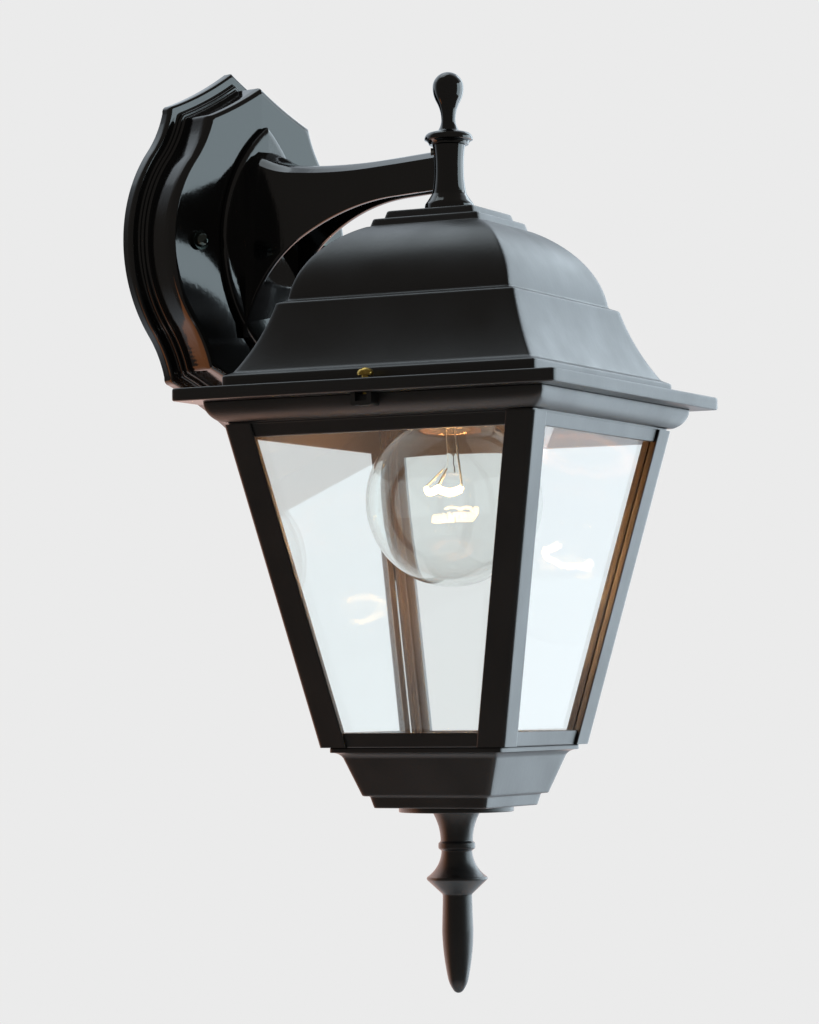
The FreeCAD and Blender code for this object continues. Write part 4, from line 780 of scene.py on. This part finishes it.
# Roof of the lantern, with its two brass screws.
# One casting, square in plan: a flat brim, a hollow flare, a swelling dome and a stepped cap with the
# hole for the tube. It is painted half-gloss black; slotted brass screws in the brim hold the cage.
def square_tree():
    """Square-plan skin through profile points; squareness 2 is round, and more makes tighter corners."""
    tree, given = new_tree("square_turning", [("Points Per Side", "Int")])
    size = node(tree, "GeometryNodeAttributeDomainSize", {0: given["Geometry"]}, component="MESH")
    count = size.outputs["Point Count"]
    rows = node(tree, "ShaderNodeMath", {0: count, 1: 1.0}, operation="ADD")
    columns = node(tree, "ShaderNodeMath",
                   {0: given["Points Per Side"], 1: 4.0, 2: 1.0}, operation="MULTIPLY_ADD")
    grid = node(tree, "GeometryNodeMeshGrid",
                {"Size X": 4.0, "Size Y": count, "Vertices X": columns, "Vertices Y": rows})
    at = node(tree, "GeometryNodeInputPosition")
    apart = node(tree, "ShaderNodeSeparateXYZ", {0: at})
    # Round the ring: the side's number and the way along it, drawn towards the corner.
    side = node(tree, "ShaderNodeMath", {0: apart}, operation="FLOOR")
    along = node(tree, "ShaderNodeMath", {0: apart, 1: side}, operation="SUBTRACT")
    even = node(tree, "ShaderNodeMath", {0: along, 1: 2.0, 2: -1.0}, operation="MULTIPLY_ADD")
    even_two = node(tree, "ShaderNodeMath", {0: even, 1: even}, operation="MULTIPLY")
    even_three = node(tree, "ShaderNodeMath", {0: even_two, 1: even}, operation="MULTIPLY")
    drawn = node(tree, "ShaderNodeMath", {0: even_three, 1: 0.5, 2: 0.5}, operation="MULTIPLY_ADD")
    quarter = node(tree, "ShaderNodeMath", {0: drawn, 1: side}, operation="ADD")
    angle = node(tree, "ShaderNodeMath", {0: quarter, 1: math.pi / 2}, operation="MULTIPLY")
    # Down the profile: the point's number, which wraps round to close the skin.
    middle = node(tree, "ShaderNodeMath", {0: count, 1: 0.5, 2: 0.5}, operation="MULTIPLY_ADD")
    number = node(tree, "ShaderNodeMath", {0: apart.outputs[1], 1: middle}, operation="ADD")
    whole = node(tree, "ShaderNodeMath", {0: number}, operation="FLOOR")
    wrapped = node(tree, "ShaderNodeMath", {0: whole, 1: count}, operation="MODULO")
    read = node(tree, "GeometryNodeInputPosition")
    stored = node(tree, "GeometryNodeInputNamedAttribute", {"Name": "squareness"}, data_type="FLOAT")
    sampled = []
    for value, kind in ((read, "FLOAT_VECTOR"), (stored, "FLOAT")):
        sampled.append(node(tree, "GeometryNodeSampleIndex",
                            {"Geometry": given["Geometry"], "Value": value, "Index": wrapped},
                            data_type=kind, domain="POINT"))
    profile, squareness = sampled
    sizes = node(tree, "ShaderNodeSeparateXYZ", {0: profile})
    # Reach of the ring at this angle, from the half-width and the squareness.
    waves = []
    powers = []
    for wave in ("COSINE", "SINE"):
        waves.append(node(tree, "ShaderNodeMath", {0: angle}, operation=wave))
        share = node(tree, "ShaderNodeMath", {0: waves[-1]}, operation="ABSOLUTE")
        powers.append(node(tree, "ShaderNodeMath", {0: share, 1: squareness}, operation="POWER"))
    total = node(tree, "ShaderNodeMath", {0: powers[0], 1: powers[1]}, operation="ADD")
    inverse = node(tree, "ShaderNodeMath", {0: -1.0, 1: squareness}, operation="DIVIDE")
    spread = node(tree, "ShaderNodeMath", {0: total, 1: inverse}, operation="POWER")
    reach = node(tree, "ShaderNodeMath", {0: spread, 1: sizes}, operation="MULTIPLY")
    x, y = [node(tree, "ShaderNodeMath", {0: reach, 1: wave}, operation="MULTIPLY") for wave in waves]
    spot = node(tree, "ShaderNodeCombineXYZ", {0: x, 1: y, 2: sizes.outputs[2]})
    skin = node(tree, "GeometryNodeSetPosition", {"Geometry": grid, "Position": spot})
    closed = node(tree, "GeometryNodeMergeByDistance", {"Geometry": skin, "Distance": 0.001})
    return close_tree(tree, closed, given["Finish"])


square_turning = square_tree()
lantern_turn = math.radians(19.2)
in_lantern = on_axis @ Matrix.Rotation(lantern_turn, 4, "Z")
hip_round = 0.55
hip_share = 0.98
round_ring = 2.0
softest_square = 4.0


def squared(name, profile, finish, round_below=0.0):
    """Square-plan mesh from a closed profile of half-widths and levels; small rings are round."""
    start = bpy.data.meshes.new(name + "_profile")
    start.from_pydata([(half, 0.0, level) for half, level in profile], [], [])
    squareness = start.attributes.new("squareness", "FLOAT", "POINT")
    for k, (half, level) in enumerate(profile):
        squared_to = max(softest_square, hip_share * half / hip_round)
        squareness.data[k].value = round_ring if half < round_below else squared_to
    mesh = grown(name, start, square_turning, {"Points Per Side": 20, "Finish": finish})
    skin = bmesh.new()
    skin.from_mesh(mesh)
    closed_up(skin, mesh, 1e-3, 1e-4)
    mesh.transform(in_lantern)
    return smoothed(mesh)


lantern_paint = black_paint("stoved_black_paint_cast", 0.00003, 0.000012, 0.32, 0.42)
brim_level = -62.0
brim_under = -4.6
tube_hole = 4.2
roof_profile = softened([
    (54.2, brim_under, 0.4), (72.5, brim_under, 0.7), (72.5, 0.0, 0.9), (59.8, 0.0, 0.7), (59.8, 4.5, 0.7),
    (57.0, 5.7, 0.7), (45.8, 30.4, 0.6, 1.1), (42.8, 31.4, 0.8), (33.0, 51.0, 0.6, -1.9),
    (22.2, 58.2, 0.5, -0.6), (21.3, 58.2, 0.4), (20.4, 61.1, 0.6), (17.6, 61.1, 0.5), (16.7, 64.1, 0.6),
    (tube_hole, 64.1, 0), (tube_hole, 55.4, 0), (19.4, 55.4, 0.8), (30.2, 49.6, 0.8), (40.0, 31.4, 0.6, 1.9),
    (43.0, 30.4, 0.6), (54.2, 5.7, 0.6, -1.1)], closed=True)
roof_rings = [(half, level + brim_level) for half, level in roof_profile]
roof_mesh = squared("roof_casting", roof_rings, lantern_paint, round_below=tube_hole + 1.8)
fitted("roof_casting", roof_mesh, lantern_paint, "lantern", "black_paint", "roof")

roof_screw_place = 66.15
screw_proud = 1.7


def lantern_spot(x, y, z):
    """Point of the lantern, in millimetres of the whole part."""
    return in_lantern @ Vector((x, y, z)) / MM


roof_screw_mesh = fixing_set(
    "roof_screws_slotted",
    [(lantern_spot(s * roof_screw_place, 0, brim_level + screw_proud), (0, 0, 1)) for s in (-1, 1)],
    turned_brass, head=(2.9, 2.3), collar=(2.7, 0.4), shank=(1.25, 9.9), slot=(0.8, 0.8))
fitted("roof_screws_slotted", roof_screw_mesh, turned_brass, "lantern", "brass", "roof_screws")


# Cage.
# One casting: a moulded cornice and top rail, four tapered corner posts with grooves for the glass,
# a bottom rail with its ledge, and two lugs for the roof screws. Painted with the roof.
frame_top = -12.5
foot = -124.7
top_half = 59.2
foot_half = 35.5
slope = (top_half - foot_half) / (frame_top - foot)
wall = 2.45
rail_back = 1.02


def frame_half(level):
    """Half the frame's width at a level."""
    return foot_half + (level - foot) * slope


rail_low = frame_top - 4.5
top_ring = softened([
    (frame_half(brim_under) - wall, brim_under, 0.3), (64.7, brim_under, 0.5), (59.9, -11.7, 0.5, 1.3),
    (58.3, -11.7, 0.3), (58.3, frame_top, 0.2), (frame_half(frame_top) - rail_back, frame_top, 0.2),
    (frame_half(rail_low) - rail_back, rail_low, 0.5), (frame_half(rail_low) - wall, rail_low, 0.4)],
    closed=True)
rail_high = foot + 5.1
ledge = foot + 2.2
ledge_half = 21.0
bottom_ring = softened([
    (frame_half(rail_high) - rail_back, rail_high, 0.5), (frame_half(foot) - rail_back, foot, 0.4),
    (ledge_half, foot, 0.3), (ledge_half, ledge, 0.3), (frame_half(ledge) - wall, ledge, 0.3),
    (frame_half(rail_high) - wall, rail_high, 0.4)], closed=True)
cage_parts = []
for name, ring in (("cage_top", top_ring), ("cage_bottom", bottom_ring)):
    cage_parts.append(squared(name, [(half, level + brim_level) for half, level in ring], lantern_paint))


def ring_tree():
    """Copies of a piece, evenly round the lantern's axis."""
    tree, given = new_tree("copies_round_axis", [("Copies", "Int")])
    spots = node(tree, "GeometryNodePoints", {"Count": given["Copies"]})
    number = node(tree, "GeometryNodeInputIndex")
    step = node(tree, "ShaderNodeMath", {0: 2 * math.pi, 1: given["Copies"]}, operation="DIVIDE")
    angle = node(tree, "ShaderNodeMath", {0: number, 1: step}, operation="MULTIPLY")
    turn = node(tree, "ShaderNodeCombineXYZ", {2: angle})
    copies = node(tree, "GeometryNodeInstanceOnPoints",
                  {"Points": spots, "Instance": given["Geometry"], "Rotation": turn})
    return close_tree(tree, copies, given["Finish"])


post = 10.5
web = 6.7
lip_out = 5.61
lip_in = 7.0
lip_end = 8.5
post_outline = softened([
    (0, 0, 1.2), (0, post, 0.5), (wall, post, 0.4), (wall, web, 0), (lip_out, web, 0),
    (lip_out, lip_end, 0.3), (lip_in, lip_end, 0.3), (lip_in, lip_in, 0.3), (lip_end, lip_in, 0.3),
    (lip_end, lip_out, 0.3), (web, lip_out, 0), (web, wall, 0), (post, wall, 0.4), (post, 0, 0.5)],
    closed=True)
groove_outline = [
    (wall, wall), (wall, web), (lip_out, web), (lip_out, lip_end), (lip_in, lip_end), (lip_in, lip_in),
    (lip_end, lip_in), (lip_end, lip_out), (web, lip_out), (web, wall)]
corner_runs = []
for outline, low, high in ((post_outline, foot, frame_top), (groove_outline, frame_top, brim_under)):
    rows = []
    for level in (low, high):
        rows.append([(frame_half(level) - u, frame_half(level) - v, level + brim_level) for u, v in outline])
    corner_runs.append((rows, False))
corner_mesh = lofted("cage_corner", corner_runs, Matrix.Identity(4))

lug_half = 3.9
lug_low = -9.0
lug_root = 58.1
lug_end = 69.85
pocket_half = 2.2
pocket_floor = -7.6
pocket_back = lug_end - 2.3
pocket_draft = 0.3
filled_floor = brim_under - 0.6


def lug_ring(x, floor_level):
    """Ring of points round a lug, at a distance from the axis, with the floor of its pocket."""
    outline = softened([
        (-lug_half, brim_under, 0), (-lug_half, lug_low, 0.9), (lug_half, lug_low, 0.9),
        (lug_half, brim_under, 0), (pocket_half, brim_under, 0), (pocket_half, floor_level, 0.3),
        (-pocket_half, floor_level, 0.3), (-pocket_half, brim_under, 0)], closed=True)
    return [(x, y, z + brim_level) for y, z in outline]


lug_rows = [lug_ring(lug_root, filled_floor), lug_ring(pocket_back, filled_floor),
            lug_ring(pocket_back + pocket_draft, pocket_floor), lug_ring(lug_end, pocket_floor)]
lug_mesh = lofted("cage_lug", [(lug_rows, False)], Matrix.Identity(4))
copies_round = ring_tree()
for name, start, copies in (("cage_posts", corner_mesh, 4), ("cage_lugs", lug_mesh, 2)):
    around = grown(name, start, copies_round, {"Copies": copies, "Finish": lantern_paint})
    around.transform(in_lantern)
    cage_parts.append(around)
joined = bmesh.new()
for part in cage_parts:
    joined.from_mesh(part)
cage_mesh = bpy.data.meshes.new("cage_casting")
joined.to_mesh(cage_mesh)
joined.free()
fitted("cage_casting", smoothed(cage_mesh), lantern_paint, "lantern", "black_paint", "cage")


# Glass panes in the cage's grooves.
# Four flat trapeziums of 2.5 mm float glass, cut to the taper and slid in from the top.
# Float glass: clear with a faint cyan cast that is deeper in the edges, and a trace of dust.
float_glass, tree, place = new_finish("clear_float_glass")
dust = node(tree, "ShaderNodeTexNoise", {"Vector": place, "Scale": 1 / 0.012, "Detail": 5.0})
haze = node(tree, "ShaderNodeMapRange", {0: dust, 1: 0.45, 2: 0.8, 3: 0.0, 4: 0.03})
shader = node(tree, "ShaderNodeBsdfPrincipled",
              {"Base Color": linear("#fbfefe"), "Roughness": haze, "IOR": 1.52,
               "Transmission Weight": 1.0})
node(tree, "ShaderNodeOutputMaterial", {0: shader})

for name in ("pane_right", "pane_rear", "pane_left", "pane_front"):
    coat_node(name, float_glass)
    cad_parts[name].visible_shadow = False


# Base cup and the screws that hold it under the cage.
# A square tapered casting, painted with the roof, with a round plate at its foot; four zinc plated
# screws come down through the cage's ledge into bosses inside the cup.
plate_radius = 20.3
stud_hole = 3.05
cup = softened([
    (27.0, 0.0, 0.3), (33.1, 0.0, 0.4), (33.1, -1.8, 0.4), (29.5, -4.2, 0.5, -0.8), (24.8, -17.1, 0.5),
    (22.9, -17.1, 0.5), (21.8, -21.3, 0.4), (plate_radius, -21.3, 0), (plate_radius, -23.1, 0.4),
    (stud_hole, -23.1, 0), (stud_hole, -18.3, 0), (20.4, -18.3, 0.5), (22.3, -14.6, 0.5), (27.0, -4.2, 0.5)],
    closed=True)
cup_profile = [(half, level + foot + brim_level) for half, level in cup]
cup_mesh = squared("base_cup_casting", cup_profile, lantern_paint, round_below=plate_radius + 0.05)
fitted("base_cup_casting", cup_mesh, lantern_paint, "lantern", "black_paint", "base_cup")

base_screw_place = 24.6
base_screw_seats = []
for a in (-1, 1):
    for b in (-1, 1):
        seat = lantern_spot(base_screw_place * a, base_screw_place * b, ledge + brim_level)
        base_screw_seats.append((seat, (0, 0, 1)))
base_screw_mesh = fixing_set(
    "base_screws_slotted", base_screw_seats, zinc_plate,
    head=(2.6, 1.8), collar=(1.5, 0.5), shank=(1.5, 8.0), slot=(0.7, 0.8))
fitted("base_screws_slotted", base_screw_mesh, zinc_plate, "lantern", "zinc_steel", "base_screws")


# Bottom finial, with the stud and nut that hold it.
# A drop turned from bar and painted with the rest: a hollow neck, a bead, a sharp disc and a long
# tapered tail. A zinc plated stud goes up through the cup's floor into a nut.
drop = softened([
    (0.0, 0.0, 0), (8.5, 0.0, 0.3), (5.65, -10.2, 0.3, -0.7), (6.5, -11.0, 0.4), (6.5, -12.8, 0.4),
    (5.4, -13.6, 0.3), (10.7, -22.9, 0.3, -1.3), (10.7, -23.7, 0.3), (5.15, -28.9, 0.4), (5.15, -30.2, 0.3),
    (5.5, -41.6, 0.5), (3.55, -58.6, 0.4, 0.4), (1.7, -62.5, 0.4, 0.2), (0.0, -63.4, 0, 0.24)])
drop_level = -209.8
drop_place = on_axis @ Matrix.Translation((0, 0, drop_level))
drop_mesh = lofted("bottom_finial_turned", [turned(drop, False)], drop_place)
fitted("bottom_finial_turned", drop_mesh, lantern_paint, "lantern", "black_paint", "bottom_finial")
for name in ("finial_stud", "finial_nut"):
    coat_node(name, zinc_plate)


# Studio: a pale floor under the lamp, soft boxes, the bulb's own light and the camera.
# The floor is a plain painted board; the background is a pale even grey.
scene = bpy.context.scene
scene.view_settings.view_transform = "Standard"
floor_radius = 0.7
floor_top = -0.90
floor_thick = 0.01
floor_discs = [(floor_radius, floor_top - floor_thick), (floor_radius, floor_top)]
floor_mesh = lofted("studio_floor", [turned(floor_discs, False)], Matrix.Translation((0, -0.12, 0)))
# Rolled paint: one even pale grey, matt, with the faint stipple of the roller.
pale_board = mottled_finish("pale_painted_board", 0.004, ("#e6e6e6", "#e6e6e6"), (0.8, 0.8),
                            grain=(0.004, 2.0, 0.1, 0.0002))
floor_mesh.materials.append(pale_board)
floor = bpy.data.objects.new("studio_floor", floor_mesh)
scene.collection.objects.link(floor)

studio = bpy.data.worlds.new("pale_studio")
scene.world = studio
studio.use_nodes = True
tree = studio.node_tree
tree.nodes.clear()
rays = node(tree, "ShaderNodeLightPath").outputs
direct = node(tree, "ShaderNodeMath",
              {0: rays["Is Camera Ray"], 1: rays["Is Transmission Ray"]}, operation="MAXIMUM")
shown = node(tree, "ShaderNodeMath", {0: direct, 1: rays["Is Glossy Ray"]}, operation="MAXIMUM")
ambient = node(tree, "ShaderNodeBackground", {"Color": linear("#a6a8aa")})
# The backdrop stands behind the lamp; on the other side the mirrors meet a dim room.
backdrop_way = (0.69, 0.72, 0.0)
looking = node(tree, "ShaderNodeTexCoord")
facing = node(tree, "ShaderNodeVectorMath",
              {0: looking.outputs["Generated"], 1: backdrop_way}, operation="DOT_PRODUCT")
behind = node(tree, "ShaderNodeMapRange", {0: facing.outputs["Value"], 1: 0.1, 2: 0.55})
pale = node(tree, "ShaderNodeMath", {0: direct, 1: behind}, operation="MAXIMUM")
shade = node(tree, "ShaderNodeMix",
             {0: direct, 6: linear("#e8f4ff"), 7: linear("#ebebeb")}, data_type="RGBA")
room = node(tree, "ShaderNodeMix", {0: pale, 6: linear("#56524e"), 7: shade.outputs[2]}, data_type="RGBA")
backdrop = node(tree, "ShaderNodeBackground", {"Color": room.outputs[2]})
sky = node(tree, "ShaderNodeMixShader", {0: shown, 1: ambient, 2: backdrop})
node(tree, "ShaderNodeOutputWorld", {0: sky})


def soft_box(name, spot, target, wide, tall, watts, colour):
    """Rectangular lamp that faces a target; the camera doesn't see it."""
    lamp = bpy.data.lights.new(name, "AREA")
    lamp.shape = "RECTANGLE"
    lamp.size = wide
    lamp.size_y = tall
    lamp.energy = watts
    lamp.color = linear(colour)[:3]
    box = bpy.data.objects.new(name, lamp)
    scene.collection.objects.link(box)
    box.location = spot
    box.rotation_euler = (Vector(target) - Vector(spot)).to_track_quat("-Z", "Y").to_euler()
    box.visible_camera = False
    box.visible_transmission = False
    return box


lantern_middle = (0.0, -0.12, -0.05)
soft_box("side_box", (1.27, 0.15, 0.2), lantern_middle, 0.41, 1.7, 6.0, "#dcecf5")
soft_box("flank_box", (1.21, -0.59, -0.12), lantern_middle, 0.62, 1.6, 9.0, "#dcecf5")
window = soft_box("window_box", (1.3, -0.19, 0.0), lantern_middle, 0.26, 1.2, 0.72, "#cbe4f5")
window.visible_transmission = True
soft_box("front_box", (0.85, -1.06, 0.12), (0.0, -0.02, 0.02), 0.6, 0.9, 4.2, "#d6ebf4")
soft_box("top_box", (0.0, 0.35, 1.15), (0.0, -0.12, 0.0), 0.8, 0.6, 1.75, "#e2eff5")
soft_box("back_box", (-0.09, 0.98, 0.94), (0.0, -0.06, 0.0), 0.9, 0.6, 0.6, "#e2eff5")
# Warm light that the wall below the plate throws back from the bulb.
soft_box("wall_glow", (0.05, 0.02, -0.2), (0.05, -0.12, -0.2), 0.45, 0.28, 0.34, "#ff9c55")

glow = bpy.data.lights.new("bulb_glow", "POINT")
glow.energy = 11.0
glow.color = linear("#ffa04c")[:3]
glow.shadow_soft_size = 0.008
bulb_glow = bpy.data.objects.new("bulb_glow", glow)
scene.collection.objects.link(bulb_glow)
glow_offset = 4
bulb_glow.location = on_axis @ Vector((0, glow_offset, filament_level))
bulb_glow.visible_camera = False
bulb_glow.visible_glossy = False
bulb_glow.visible_transmission = False

azimuth = math.radians(-44.10)
height = math.radians(-2.98)
roll = math.radians(-0.63)
back = Vector((math.sin(azimuth) * math.cos(height), -math.cos(azimuth) * math.cos(height), math.sin(height)))
level_right = Vector((0, 0, 1)).cross(back).normalized()
level_up = back.cross(level_right)
right = level_right * math.cos(roll) + level_up * math.sin(roll)
up = level_up * math.cos(roll) - level_right * math.sin(roll)
camera_data = bpy.data.cameras.new("photo_camera")
camera_data.sensor_fit = "VERTICAL"
camera_data.sensor_height = 36.0
camera_data.lens = 124.7
camera = bpy.data.objects.new("photo_camera", camera_data)
scene.collection.objects.link(camera)
turn = Matrix((right, up, back)).transposed().to_4x4()
camera_place = (-0.8824, -1.0095, -0.1692)
camera.matrix_world = Matrix.Translation(camera_place) @ turn
scene.camera = camera
